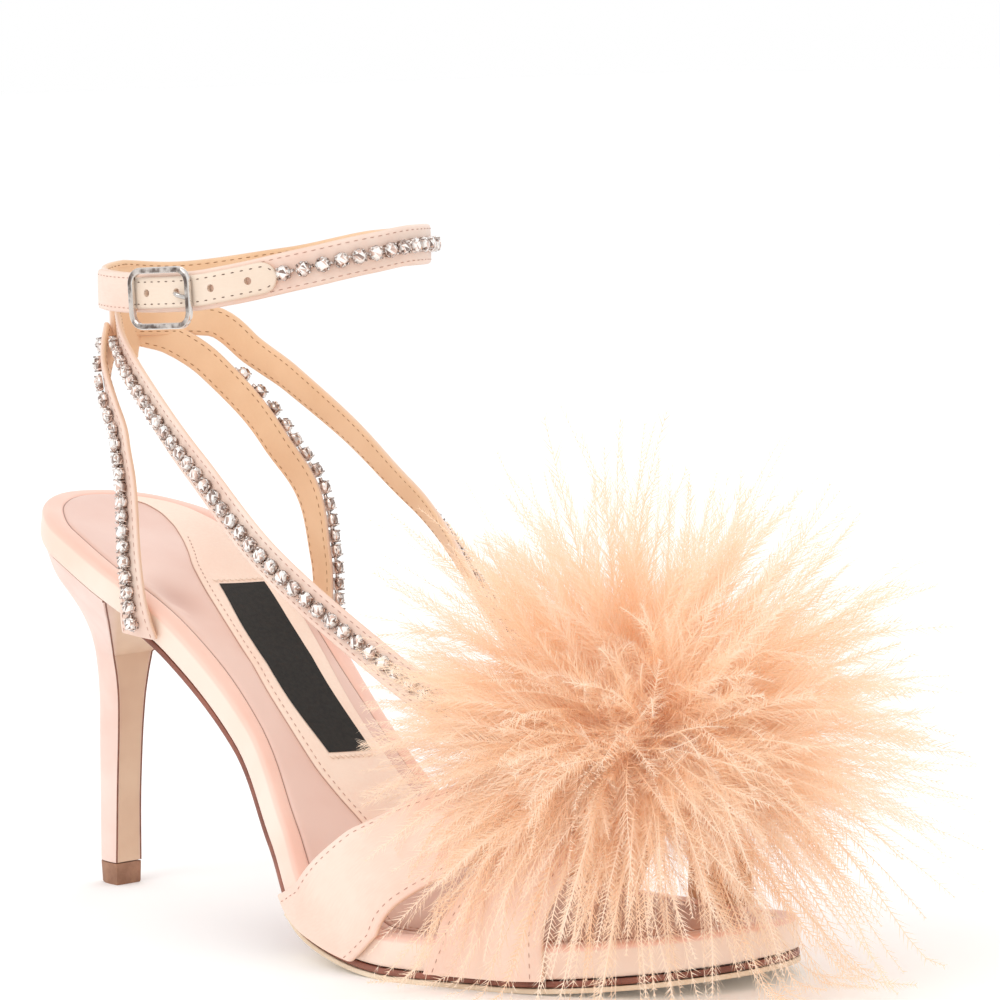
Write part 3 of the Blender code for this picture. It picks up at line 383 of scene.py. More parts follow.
def last_point(share, around, above):
    """Point on the foot's own form, from the outer floor edge (-1) to the inner one (1)."""
    outer, inner = edges_at(share)
    middle = (outer + inner) / 2.0
    half = (inner - outer) / 2.0 + above
    side = 1.0 if around >= 0.0 else -1.0
    along = share * FOOTBED_LENGTH
    if abs(around) > LAST_SHOULDER:
        down = (abs(around) - LAST_SHOULDER) / (1.0 - LAST_SHOULDER)
        return bed_point(along, middle + side * half, -FOOTBED_THICKNESS * down)
    height = table_value(LAST_HEIGHTS, 1, share) * BALL_WIDTH + above
    turn = abs(around) / LAST_SHOULDER * math.pi / 2.0
    across = half * math.sin(turn) ** LAST_FULLNESS
    up = height * max(math.cos(turn), 0.0) ** LAST_FULLNESS
    return bed_point(along, middle + side * across, up)


print("slope gain", round(SLOPE_GAIN, 4))

# %% [markdown]
# ## Three ways to make a piece
# Nearly every piece here is a grid whose vertices are moved to a place that depends on how
# far round and how far along they are: that makes covers, straps and tubes. Small things
# that come hundreds of times are one shape copied by arrays into one mesh. A grid ends in a
# finishing step that merges doubles and turns faces out, and every piece is handed to the
# frame.


# %% Grid, copies and finishing
def lay_grid(columns, rows, place, channels=(), paint=None, size=(1.0, 1.0)):
    """A grid moved to place(u, v), with a cloth map in metres and painted channels."""
    mesh = bmesh.new()
    uv = mesh.loops.layers.uv.new("UVMap")
    layers = [mesh.verts.layers.float.new(name) for name in channels]
    bmesh.ops.create_grid(mesh, x_segments=columns, y_segments=rows, size=0.5)
    for face in mesh.faces:
        for loop in face.loops:
            spot = loop.vert.co
            loop[uv].uv = ((spot.x + 0.5) * size[0], (spot.y + 0.5) * size[1])
    for vertex in mesh.verts:
        u, v = vertex.co.x + 0.5, vertex.co.y + 0.5
        if paint:
            for layer, value in zip(layers, paint(u, v)):
                vertex[layer] = value
        vertex.co = place(u, v)
    return mesh


def hand_over(made, nodes):
    """Lets a piece ride on the sandal and hides the solids that it stands for."""
    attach(made, "root")
    if nodes:
        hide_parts(*nodes)
    print(made.name, len(made.data.polygons), "faces")
    return made


def finish_piece(mesh, name, materials, nodes=(), smooth=45.0, ends=False):
    """Merges doubles, closes ends if asked, turns faces out and makes the object."""
    bmesh.ops.remove_doubles(mesh, verts=mesh.verts, dist=2e-6)
    if ends:
        rim = [edge for edge in mesh.edges if edge.is_boundary]
        bmesh.ops.holes_fill(mesh, edges=rim, sides=0)
    bmesh.ops.recalc_face_normals(mesh, faces=mesh.faces)
    data = bpy.data.meshes.new(name)
    mesh.to_mesh(data)
    mesh.free()
    for material in materials:
        data.materials.append(material)
    data.shade_smooth()
    data.set_sharp_from_angle(angle=math.radians(smooth))
    made = bpy.data.objects.new(name, data)
    bpy.context.scene.collection.objects.link(made)
    return hand_over(made, nodes)


def mesh_from_arrays(name, points, faces, channels=None, face_channels=None, kinds=None):
    """One mesh from arrays of points and of faces that all have as many corners."""
    data = bpy.data.meshes.new(name)
    count, corners = faces.shape
    data.vertices.add(len(points))
    data.vertices.foreach_set("co", points.astype(np.float32).ravel())
    data.loops.add(count * corners)
    data.loops.foreach_set("vertex_index", faces.astype(np.int32).ravel())
    data.polygons.add(count)
    data.polygons.foreach_set("loop_start", np.arange(0, count * corners, corners, dtype=np.int32))
    data.update(calc_edges=True)
    for domain, group in (("POINT", channels), ("FACE", face_channels)):
        for key, values in (group or {}).items():
            layer = data.attributes.new(key, "FLOAT", domain)
            layer.data.foreach_set("value", values.astype(np.float32).ravel())
    if kinds is not None:
        data.polygons.foreach_set("material_index", kinds.astype(np.int32))
    return data


def repeat_shape(shape, name, matrices, materials, nodes=(), smooth=True, seed=1):
    """Copies of a bmesh shape at many places, joined in one mesh, each facet with its tone."""
    bmesh.ops.triangulate(shape, faces=shape.faces)
    shape.verts.index_update()
    points = np.array([(*vertex.co, 1.0) for vertex in shape.verts])
    faces = np.array([[vertex.index for vertex in face.verts] for face in shape.faces])
    kinds = np.array([face.material_index for face in shape.faces])
    shape.free()
    places = np.array([list(matrix) for matrix in matrices], dtype=float)
    copies = np.einsum("nij,vj->nvi", places, points)[:, :, :3]
    shifts = np.arange(len(places))[:, None, None] * len(points)
    tones = np.random.default_rng(seed).random(len(places) * len(faces))
    data = mesh_from_arrays(
        name, copies.reshape(-1, 3), (faces[None] + shifts).reshape(-1, 3),
        None, {"tone": tones}, np.tile(kinds, len(places)),
    )
    for material in materials:
        data.materials.append(material)
    if smooth:
        data.shade_smooth()
    made = bpy.data.objects.new(name, data)
    bpy.context.scene.collection.objects.link(made)
    return hand_over(made, nodes)


# %% [markdown]
# ## Satin, linings and sole finishes
# Satin is smooth cloth with long floating threads. Close up it shows a fine cross grain,
# and from a step away a soft sheen with slow changes of shade. The lining is a thin
# beige leather with small pores. Masks painted on the vertices say where one finish
# gives way to the next and where shade is painted in, so one continuous cover can carry
# several shades.

# %% Satin of the straps
THREAD_SCALE = 3200.0


def thread_height(paint):
    """Height of satin's fine threads, from noise that is stretched along the cloth."""
    cloth = paint.cloth()
    fine = paint.noise(paint.stretched(cloth, (THREAD_SCALE, THREAD_SCALE * 0.14, 1.0)), 1.0, 1.0)
    cross = paint.noise(paint.stretched(cloth, (THREAD_SCALE * 0.2, THREAD_SCALE, 1.0)), 1.0, 1.0)
    soft = paint.noise(paint.place(), 120.0, 2.0)
    return fine * 0.35 + cross * 0.20 + soft * 0.9


def satin_with_lining(name, pale, deep, lining_shade, lining_deep):
    """Satin on the outside and beige lining leather inside, told apart by a mask."""
    paint = Paint(name)
    slow = paint.noise(paint.place(), 46.0, 3.0, 0.55)
    weave = paint.noise(paint.stretched(paint.cloth(), (2600.0, 420.0, 1.0)), 1.0, 1.0)
    mottle = slow * 0.8 + weave * 0.2
    outside = paint.mixed(paint.band(mottle, 0.30, 0.72), pale, deep)
    pores = paint.noise(paint.place(), 1500.0, 2.0)
    mottled = paint.band(slow * 0.9 + pores * 0.1, 0.3, 0.75) * 0.6
    inside = paint.mixed(mottled, lining_shade, lining_deep)
    lining = paint.mask("lining")
    shade = paint.mixed(lining, outside, inside)
    edge = paint.mixed(paint.mask("edge"), shade, lining_deep)
    roughness = 0.42 + slow * 0.12 + lining * 0.2
    return paint.finish(
        edge, roughness, thread_height(paint), 0.35, 0.00012, Sheen_Weight=0.25, Sheen_Roughness=0.4
    )


strap_satin = satin_with_lining(
    "strap_satin", tint(243, 220, 205), tint(238, 204, 187),
    tint(240, 203, 166), tint(222, 178, 136),
)
vamp_satin = satin_with_lining(
    "vamp_satin", tint(247, 222, 206), tint(246, 206, 188), tint(240, 203, 166), tint(222, 178, 136)
)
tab_satin = satin_with_lining(
    "tab_satin", tint(238, 221, 203), tint(232, 210, 190), tint(240, 203, 166), tint(222, 178, 136)
)

# %% Satin of the footbed
bed_paint = Paint("footbed_satin")
bed_slow = bed_paint.noise(bed_paint.place(), 38.0, 3.0, 0.5)
wall_shade = bed_paint.mixed(
    bed_paint.band(bed_slow, 0.35, 0.7), tint(247, 226, 211), tint(243, 212, 194)
)
# The rim is painted pinker and darker than the wall: painted shade on its upward face.
rim_painted_shade = bed_paint.mixed(
    bed_paint.band(bed_slow, 0.3, 0.7), tint(248, 208, 192), tint(244, 196, 178)
)
# The seat is painted darker than the wall: painted shade in the dished seat.
seat_painted_shade = bed_paint.mixed(
    bed_paint.band(bed_slow, 0.3, 0.7), tint(235, 204, 192), tint(228, 190, 176)
)
bed_shade = bed_paint.mixed(bed_paint.mask("rim"), wall_shade, rim_painted_shade)
bed_shade = bed_paint.mixed(bed_paint.mask("bed"), bed_shade, seat_painted_shade)
# Painted shade in the dimple, and dark painted shade at the bottom of the seam groove.
bed_shade = bed_paint.mixed(bed_paint.mask("dimple"), bed_shade, tint(205, 160, 145))
bed_shade = bed_paint.mixed(bed_paint.mask("seam"), bed_shade, tint(150, 98, 82))
bed_rough = 0.40 + bed_slow * 0.14
footbed_satin = bed_paint.finish(
    bed_shade, bed_rough, thread_height(bed_paint), 0.3, 0.00012,
    Sheen_Weight=0.2, Sheen_Roughness=0.4,
)

# %% Sock, heel and sole finishes
sock_paint = Paint("sock_lining")
sock_slow = sock_paint.noise(sock_paint.place(), 30.0, 3.0)
sock_pores = sock_paint.noise(sock_paint.place(), 1400.0, 2.0)
sock_base = sock_paint.mixed(
    sock_paint.band(sock_slow * 0.8 + sock_pores * 0.2, 0.3, 0.7),
    tint(252, 232, 216), tint(246, 216, 198),
)
# The front of the sock is painted darker: painted shadow of the vamp straps and the pompom.
sock_front_painted_shadow = sock_paint.mixed(
    sock_paint.band(sock_slow, 0.3, 0.7), tint(226, 190, 172), tint(205, 164, 148)
)
sock_shade = sock_paint.mixed(sock_paint.mask("forefoot"), sock_base, sock_front_painted_shadow)
# Painted shade along the turned-down rim of the sock.
sock_shade = sock_paint.mixed(sock_paint.mask("edge"), sock_shade, tint(168, 118, 98))
sock_lining = sock_paint.finish(sock_shade, 0.5 + sock_pores * 0.12, sock_pores, 0.25, 0.0001)

heel_paint = Paint("heel_satin")
heel_slow = heel_paint.noise(heel_paint.place(), 60.0, 3.0)
heel_side = heel_paint.mixed(
    heel_paint.band(heel_slow, 0.3, 0.7), tint(242, 214, 202), tint(236, 200, 186)
)
# The breast is painted darker and more beige than the sides: painted shade on that face.
heel_breast_painted_shade = heel_paint.mixed(
    heel_paint.band(heel_slow, 0.3, 0.7), tint(231, 198, 168), tint(220, 182, 152)
)
heel_shade = heel_paint.mixed(heel_paint.mask("breast"), heel_side, heel_breast_painted_shade)
heel_satin = heel_paint.finish(
    heel_shade, 0.42 + heel_slow * 0.1, thread_height(heel_paint), 0.3, 0.00012, Sheen_Weight=0.2
)


def worn_finish(name, pale, deep, scale, roughness, relief):
    """A plain rubber or leather finish with soft mottling and fine grain."""
    paint = Paint(name)
    slow = paint.noise(paint.place(), scale, 3.0)
    grain = paint.noise(paint.place(), scale * 22.0, 2.0)
    shade = paint.mixed(paint.band(slow * 0.7 + grain * 0.3, 0.3, 0.7), pale, deep)
    return paint.finish(shade, roughness + grain * 0.12, grain, relief, 0.0001)


tip_rubber = worn_finish("tip_rubber", tint(172, 126, 98), tint(138, 96, 72), 260.0, 0.5, 0.3)
welt_brown = worn_finish("welt_brown", tint(158, 98, 80), tint(118, 68, 54), 90.0, 0.45, 0.3)
outsole_cream = worn_finish(
    "outsole_cream", tint(240, 222, 198), tint(228, 204, 176), 80.0, 0.5, 0.3
)
label_black = worn_finish("label_black", tint(40, 37, 34), tint(26, 25, 24), 900.0, 0.78, 0.4)
thread_pink = worn_finish("thread_pink", tint(206, 164, 146), tint(184, 140, 122), 900.0, 0.6, 0.3)
thread_tan = worn_finish("thread_tan", tint(176, 126, 84), tint(150, 104, 68), 900.0, 0.6, 0.3)
thread_brown = worn_finish("thread_brown", tint(120, 92, 76), tint(96, 70, 56), 900.0, 0.6, 0.3)
thread_cream = worn_finish(
    "thread_cream", tint(250, 232, 216), tint(232, 206, 186), 900.0, 0.6, 0.3
)
# Dark brown of the cords that paint the shade in the heel's folds.
fold_shade_brown = worn_finish("fold_shade_brown", tint(150, 98, 78), tint(120, 76, 60), 500.0, 0.55, 0.3)
print(len(bpy.data.materials), "materials")

# %% [markdown]
# ## The footbed's cover
# The platform is wrapped in one satin cover: a side wall, a flat rim, a stitched seam a
# few millimetres in, and the padded seat. The rim is painted a darker pink than the wall,
# as painted shade on its upward face; the seam groove is painted dark as the shade in it;
# the seat and its dimple are painted darker as the shade in the hollow. Rings that follow
# the outline at growing distances from the edge make the wall and the rim. A second grid
# runs from side to side across the middle, so the seat can be dished.

# %% Rings round the outline
SEAM_INSETS = ((0.00, 5.0), (0.34, 5.0), (0.45, 3.9), (0.53, 3.9), (0.62, 4.6), (1.00, 5.4))
COVER_STATIONS = 128
CUP_LIMIT = 0.35
CUP_DEPTH = 2.2 * MM


def outline_loop(start, stop, inset, count, stretch=True):
    """Places round the outline, outer edge forward and inner edge back, moved inward."""
    closed = start <= 0.0
    outer, inner, shares = [], [], []
    for index in range(count + 1):
        if closed:
            t = (1.0 - math.cos(math.pi * index / count)) / 2.0
        else:
            t = math.sin(math.pi / 2.0 * index / count)
        share = start + (stop - start) * t
        shares.append(share)
        low, high = edges_at(share)
        outer.append((share * FOOTBED_LENGTH, low))
        inner.append((share * FOOTBED_LENGTH, high))
    back = inner[1:-1] if closed else inner[:-1]
    shares = shares + (shares[1:-1] if closed else shares[:-1])[::-1]
    loop = outer + back[::-1]
    moved = []
    for index in range(len(loop)):
        before, here, after = loop[index - 1], loop[index], loop[(index + 1) % len(loop)]
        along, across = after[0] - before[0], after[1] - before[1]
        length = math.hypot(along, across)
        reach = inset * (table_value(SEAM_INSETS, 1, shares[index]) / 5.0 if stretch else 1.0)
        moved.append((here[0] - across / length * reach, here[1] + along / length * reach))
    return moved


def bed_dish(along, across):
    """How deep the padded seat lies under the footbed's top at a place."""
    share = along / FOOTBED_LENGTH
    outer, inner = edges_at(share)
    outer, inner = outer + 5.0 * MM, inner - 5.0 * MM
    if inner <= outer or not outer < across < inner:
        return 0.0
    t = (across - outer) / (inner - outer)
    bowl = 1.0 - (2.0 * t - 1.0) ** 2
    seat = max(0.0, 1.0 - share / CUP_LIMIT) ** 0.5 * ease(along, 5.0 * MM, 34.0 * MM)
    arch = 0.35 * ease(share, 0.2, 0.4) * (1.0 - ease(share, 0.6, 0.75))
    hollow = math.hypot(along - 0.063, (across + 0.015) * 1.4) / 0.007
    return bowl * (CUP_DEPTH * seat + arch * MM) + 0.5 * MM * math.exp(-hollow ** 2)


# %% Footbed cover
RIM_PROFILE = (
    (9.0, -7.3), (1.3, -7.3), (0.5, -7.05), (0.1, -6.5), (0.0, -5.9), (0.0, -4.4), (0.0, -2.6),
    (0.0, -1.5), (0.12, -0.95), (0.4, -0.5), (0.85, -0.2), (1.5, -0.04), (2.6, 0.04), (3.7, 0.0),
    (4.4, -0.15), (4.75, -0.38), (5.0, -0.62), (5.25, -0.34), (5.7, -0.08), (6.6, 0.0), (8.0, 0.0),
)
cover_rings = [
    outline_loop(0.0, 1.0, inset * MM, COVER_STATIONS) for inset, _ in RIM_PROFILE
]
ring_size = len(cover_rings[0])


def cover_band_place(u, v):
    """A place on the wall, the rim or the seam."""
    row = round(v * (len(RIM_PROFILE) - 1))
    along, across = cover_rings[row][round(u * ring_size) % ring_size]
    inset, above = RIM_PROFILE[row]
    dish = bed_dish(along, across) if inset > 5.5 else 0.0
    return bed_point(along, across, above * MM - dish)


def cover_band_paint(u, v):
    """Masks of the painted shade on the rim, the seat, the seam groove and the dimple, in that
    order.
    """
    inset, above = RIM_PROFILE[round(v * (len(RIM_PROFILE) - 1))]
    rim = 1.0 if above > -1.2 and inset < 5.0 else 0.0
    return (rim, 1.0 if inset > 5.0 else 0.0, 1.0 if inset == 5.0 else 0.0, 0.0)


def cover_middle_place(u, v):
    """A place on the padded middle, between two places of the last ring."""
    ring = cover_rings[-1]
    index = round(v * COVER_STATIONS)
    start, stop = ring[index], ring[(ring_size - index) % ring_size]
    along = start[0] + (stop[0] - start[0]) * u
    across = start[1] + (stop[1] - start[1]) * u
    return along, across


def cover_under_place(u, v):
    """A place on the underside, between two places of the first ring."""
    ring = cover_rings[0]
    index = round(v * COVER_STATIONS)
    start, stop = ring[index], ring[(ring_size - index) % ring_size]
    spot = [a + (b - a) * u for a, b in zip(start, stop)]
    return bed_point(*spot, RIM_PROFILE[0][1] * MM)


def middle_surface(u, v):
    along, across = cover_middle_place(u, v)
    return bed_point(along, across, -bed_dish(along, across))


# Masks of the padded middle: painted shade over the whole seat, and more painted shade at the
# dimple.
def middle_paint(u, v):
    along, across = cover_middle_place(u, v)
    spot = math.hypot(along - 0.063, (across + 0.015) * 1.4) / 0.0065
    return (0.0, 1.0, 0.0, 0.75 * math.exp(-spot ** 2))


def merge_into(base, other):
    """Adds one bmesh to another and frees it."""
    data = bpy.data.meshes.new("passing")
    other.to_mesh(data)
    other.free()
    base.from_mesh(data)
    bpy.data.meshes.remove(data)


masks = ("rim", "bed", "seam", "dimple")
cover = lay_grid(
    ring_size, len(RIM_PROFILE) - 1, cover_band_place, masks, cover_band_paint, (0.56, 0.022)
)
merge_into(cover, lay_grid(26, COVER_STATIONS, middle_surface, masks, middle_paint, (0.05, 0.25)))
merge_into(cover, lay_grid(3, COVER_STATIONS, cover_under_place, masks, lambda u, v: (0, 0, 0, 0)))
footbed_cover = finish_piece(
    cover, "footbed_cover", [footbed_satin], ["footbed"], 60.0
)

# %% [markdown]
# ## The sock and its stitching
# The sock is a thin lining glued over the inner part of the footbed. Its outer edge is the
# curved line that leaves the padded seat free and runs down the arch, so the sheet is laid
# between two edges that are read from tables. Its rim is turned down and painted dark as the
# shade along it, which draws the line, and a row of stitches follows it. Its front is painted
# darker as the shadow of the vamp straps and the pompom. The black patch is left bare.

# %% Sock sheet
# Outer edge of the shown sock, in mm along and across. It is chosen after the photo and
# leaves the heel pad free, so here the shown sock is narrower than its solid.
SOCK_OUTER = (
    (9.0, 5.0), (12.0, 7.5), (17.0, 10.0), (21.0, 10.2), (28.0, 9.0), (35.0, 6.4), (43.0, 2.6),
    (51.0, -1.6), (64.0, -5.8), (83.0, -9.0), (99.0, -10.4), (117.0, -10.0), (127.0, -8.6),
    (137.0, -7.0), (148.0, -10.0), (160.0, -20.0), (172.0, -27.5), (180.0, -29.5),
)
SOCK_FIRST = 9.5 * MM
SOCK_LAST = 0.9585 * FOOTBED_LENGTH
SOCK_ROWS = 150


def sock_edges(along):
    """Outer and inner edge of the sock at a length along the footbed."""
    share = along / FOOTBED_LENGTH
    inner = rounded_value(SOCK_OUTLINE, 2, share) * BALL_WIDTH
    whole = rounded_value(SOCK_OUTLINE, 1, share) * BALL_WIDTH
    if along < 0.180:
        line = table_value(SOCK_OUTER, 1, along / MM) * MM
        blend = ease(along, 0.160, 0.180)
        return line + (whole - line) * blend, max(inner, line + 0.2 * MM)
    return whole, inner


def sock_spot(u, v):
    """Length along and distance across of a place on the sock."""
    along = SOCK_FIRST + (SOCK_LAST - SOCK_FIRST) * (1.0 - math.cos(math.pi * v)) / 2.0
    outer, inner = sock_edges(along)
    return along, outer + (inner - outer) * u


SOCK_COLUMNS = (0.0, 0.0, 0.012, 0.035, 0.08) + tuple(0.16 + 0.08 * i for i in range(9)) + (
    0.88, 0.94, 0.97, 0.99, 1.0, 1.0
)


def sock_place(u, v):
    column = round(u * (len(SOCK_COLUMNS) - 1))
    along, across = sock_spot(SOCK_COLUMNS[column], v)
    edge = min(column, len(SOCK_COLUMNS) - 1 - column)
    lift = (-0.25, 0.16, 0.32, 0.34, 0.34)[min(edge, 4)] * MM
    end = ease(v, 0.0, 0.02) * (1.0 - ease(v, 0.985, 1.0))
    return bed_point(along, across, lift * end - bed_dish(along, across) - 0.2 * MM * (1.0 - end))


# Masks of the painted shade at the turned rim and of the painted shadow under the vamp straps and
# pompom, in that order.
def sock_paint_at(u, v):
    column = round(u * (len(SOCK_COLUMNS) - 1))
    along, _ = sock_spot(SOCK_COLUMNS[column], v)
    edge = min(column, len(SOCK_COLUMNS) - 1 - column)
    return (0.85 if edge <= 1 else 0.0, ease(along, 0.140, 0.162))


finish_piece(
    lay_grid(
        len(SOCK_COLUMNS) - 1, SOCK_ROWS, sock_place, ("edge", "forefoot"), sock_paint_at,
        (0.03, 0.23),
    ),
    "sock", [sock_lining], ["insole_sock"], 60.0,
)

# %% Bare black patch
PATCH_SIDES = (
    (59.0, 0.2, 61.0, 12.4), (78.0, -4.4, 79.5, 9.2),
    (97.0, -6.0, 98.5, 7.4), (115.4, -3.9, 116.6, 8.3),
)


def patch_place(u, v):
    """A place on the patch, between its two long sides."""
    rows = [(index / 3.0, *row) for index, row in enumerate(PATCH_SIDES)]
    low = [table_value(rows, column, v) for column in (1, 2)]
    high = [table_value(rows, column, v) for column in (3, 4)]
    along = (low[0] + (high[0] - low[0]) * u) * MM
    across = (low[1] + (high[1] - low[1]) * u) * MM
    return bed_point(along, across, 0.48 * MM - bed_dish(along, across))


finish_piece(
    lay_grid(8, 40, patch_place, size=(0.013, 0.057)), "bare_patch", [label_black]
)


# %% Stitches
SMALL_STITCH = (1.25 * MM, 0.24 * MM, 0.14 * MM)
STITCH_INSET = 1.05 * MM
STITCH_PITCH = 2.0 * MM
STITCH_DEPTH = STRAP_THICKNESS / 2.0 + 0.06 * MM


def stitch_shape(length, width, height):
    """A small thread loop: a ball drawn out along X."""
    shape = bmesh.new()
    bmesh.ops.create_icosphere(shape, subdivisions=1, radius=0.5)
    bmesh.ops.scale(shape, vec=(length, width, height), verts=shape.verts)
    return shape


def standing(spot, along, out):
    """Matrix that puts X along and Z out at a spot."""
    along = along.normalized()
    out = (out - along * out.dot(along)).normalized()
    side = out.cross(along)
    turn = Matrix((along, side, out)).transposed().to_4x4()
    return Matrix.Translation(spot) @ turn


def stitch_places(line, pitch, skip=0.0):
    """Matrices every pitch along a line of spots with their ways out."""
    places = []
    left = pitch / 2.0 + skip
    for (spot, out), (after, _) in zip(line, line[1:]):
        step = (after - spot).length
        while left <= step and step > 0.0:
            places.append(standing(spot.lerp(after, left / step), after - spot, out))
            left += pitch
        left -= step
    return places


def bed_line(spots, lift):
    """A line of places on the footbed, with their ways out."""
    line = []
    for along, across in spots:
        spot = bed_point(along, across, lift - bed_dish(along, across))
        over = bed_point(along, across, lift + MM - bed_dish(along, across))
        line.append((spot, over - spot))
    return line


steps = [i / 300.0 for i in range(301)]
outer_row = [(0.036 + 0.200 * t) for t in steps]
sock_stitches = stitch_places(
    bed_line([(a, sock_edges(a)[0] + 1.7 * MM) for a in outer_row], 0.40 * MM), 1.9 * MM
)
inner_row = [(0.150 + 0.085 * t) for t in steps]
sock_stitches += stitch_places(
    bed_line([(a, sock_edges(a)[1] - 1.7 * MM) for a in inner_row], 0.40 * MM), 1.9 * MM
)
repeat_shape(
    stitch_shape(1.2 * MM, 0.26 * MM, 0.16 * MM), "sock_stitches", sock_stitches,
    [thread_pink],
)


def zigzag(first, last, teeth, reach, lift):
    """Matrices of a zigzag row between two places of the footbed."""
    spots = []
    for index in range(teeth + 1):
        t = index / teeth
        along = first[0] + (last[0] - first[0]) * t + (reach if index % 2 else -reach)
        spots.append((along * MM, (first[1] + (last[1] - first[1]) * t) * MM))
    line = bed_line(spots, lift)
    return [
        standing((a + b) / 2.0, b - a, out) for (a, out), (b, _) in zip(line, line[1:])
    ]


patch_rows = zigzag((57.6, -0.6), (59.8, 13.0), 18, 0.55, 0.50 * MM)
patch_rows += zigzag((116.8, -4.4), (118.0, 8.8), 18, 0.55, 0.50 * MM)
repeat_shape(
    stitch_shape(1.45 * MM, 0.24 * MM, 0.2 * MM), "patch_stitches", patch_rows,
    [thread_cream],
)

# %% [markdown]
# ## Welt and outsole
# Under the satin platform lies a thin brown board whose edge shows as a dark line, and
# under the forefoot a cream outsole. Each is a slim plate that follows the outline a
# little inside it, so both come from one function: a ring of wall and two flat faces.


# %% Board and outsole
def thin_layer(name, start, setback, top, thickness, material, node):
    """A thin sole layer from a share of the footbed's length to the toe."""
    count = 96
    loop = outline_loop(start, 1.0, setback, count, False)
    inside = outline_loop(start, 1.0, setback + 0.15 * MM, count, False)
    size = len(loop)
    rows = (
        (inside, top - thickness), (loop, top - thickness * 0.85),
        (loop, top - thickness * 0.15), (inside, top),
    )

    def wall(u, v):
        ring, above = rows[round(v * 3)]
        return bed_point(*ring[round(u * size) % size], above)

    def face(above):
        def place(u, v):
            index = round(v * count)
            start_spot, stop_spot = inside[index], inside[size - 1 - index]
            spot = [a + (b - a) * u for a, b in zip(start_spot, stop_spot)]
            return bed_point(*spot, above)
        return place

    mesh = lay_grid(size, 3, wall, size=(0.4, 0.002))
    merge_into(mesh, lay_grid(4, count, face(top), size=(0.07, 0.2)))
    merge_into(mesh, lay_grid(4, count, face(top - thickness), size=(0.07, 0.2)))
    return finish_piece(mesh, name, [material], [node], 40.0)


under_bed = -(FOOTBED_THICKNESS + GAP)
thin_layer(
    "brown_board", BOARD_START, BOARD_SETBACK - 0.7 * MM, under_bed, BOARD_THICKNESS,
    welt_brown, "sole_board",
)
thin_layer(
    "cream_sole", OUTSOLE_START, OUTSOLE_SETBACK, under_bed - BOARD_THICKNESS - GAP,
    OUTSOLE_THICKNESS, outsole_cream, "outsole",
)

# %% [markdown]
# ## The covered heel
# A slender heel is a moulded core with satin drawn round its back and sides, and a
# separate piece glued on the flat front, which is painted darker and more beige as the
# shade on that face. The rings run from the top piece up to the neck and on to the seat,
# and where the two pieces of satin meet, a fine dark cord lies along the folded edge as
# painted shade of the fold.

# %% Heel tables
HEEL_SHANK_WIDTH = 0.0076
HEEL_TIP_HEIGHT = 0.0056
HEEL_NECK_SHARE = 0.596
BREAST_SHARE = 0.205
HEEL_SEAT_INSET = 0.0010
HEEL_SQUARE = 0.80
HEEL_ROWS = (
    (0.00, 0.49, 0.50, -0.70), (0.30, 0.60, 0.48, -0.66), (0.57, 0.76, 0.49, -0.60),
    (0.77, 0.90, 0.54, -0.52), (0.89, 0.98, 0.64, -0.48), (1.00, 1.04, 0.80, -0.45),
)
CUP_ROWS = (
    (0.00, 0.00, 0.00), (0.15, 0.03, 0.13), (0.29, 0.12, 0.26), (0.44, 0.31, 0.40),
    (0.60, 0.62, 0.56), (0.76, 0.88, 0.76), (1.00, 1.00, 1.00),
)
HEEL_STATIONS = 30
BREAST_COLUMNS = 10
STEM_ROWS, CUP_STEPS = 30, 24


# %% Heel rings
def seat_ring():
    """Top ring of the heel, along the footbed's underside from breast to back to breast."""
    places = []
    for index in range(-HEEL_STATIONS, HEEL_STATIONS + 1):
        share = BREAST_SHARE * (1.0 - math.cos(math.pi / 2.0 * index / HEEL_STATIONS))
        outer, inner = edges_at(share)
        places.append((share * FOOTBED_LENGTH, outer if index < 0 else inner))
    places[HEEL_STATIONS] = (0.0, 0.0)
    places.reverse()
    moved = []
    for index, here in enumerate(places):
        before, after = places[max(index - 1, 0)], places[min(index + 1, len(places) - 1)]
        along, across = after[0] - before[0], after[1] - before[1]
        length = math.hypot(along, across)
        moved.append((
            here[0] - across / length * HEEL_SEAT_INSET, here[1] + along / length * HEEL_SEAT_INSET
        ))
    moved[0] = (places[0][0], places[0][1] - HEEL_SEAT_INSET)
    moved[-1] = (places[-1][0], places[-1][1] + HEEL_SEAT_INSET)
    return [bed_point(x, y, under_bed) for x, y in moved]


def shank_ring(rise):
    """Ring of the stem at a share of its height: a flat breast and a rounded back."""
    breast, half, back = (table_value(HEEL_ROWS, column, rise) for column in (1, 2, 3))
    neck = HEEL_NECK_SHARE * SEAT_HEIGHT
    height = HEEL_TIP_HEIGHT + rise * (neck - HEEL_TIP_HEIGHT)
    points = []
    for index in range(-HEEL_STATIONS, HEEL_STATIONS + 1):
        turn = math.pi / 2.0 * index / HEEL_STATIONS
        across = -math.copysign(abs(math.sin(turn)) ** HEEL_SQUARE, index) * half
        depth = max(math.cos(turn), 0.0) ** HEEL_SQUARE
        points.append(Vector((
            (breast - (breast - back) * depth) * HEEL_SHANK_WIDTH, across * HEEL_SHANK_WIDTH, height
        )))
    return points


seat, neck_ring = seat_ring(), shank_ring(1.0)


def cup_ring(rise):
    """Ring of the cup at a share of the rise from the neck to the seat."""
    back_share, breast_share = (table_value(CUP_ROWS, column, rise) for column in (1, 2))
    ring = []
    for index, (low, high) in enumerate(zip(neck_ring, seat)):
        turn = abs(index - HEEL_STATIONS) / HEEL_STATIONS
        point = low.lerp(high, back_share + (breast_share - back_share) * turn)
        point.z = low.z + (high.z - low.z) * rise
        ring.append(point)
    return ring


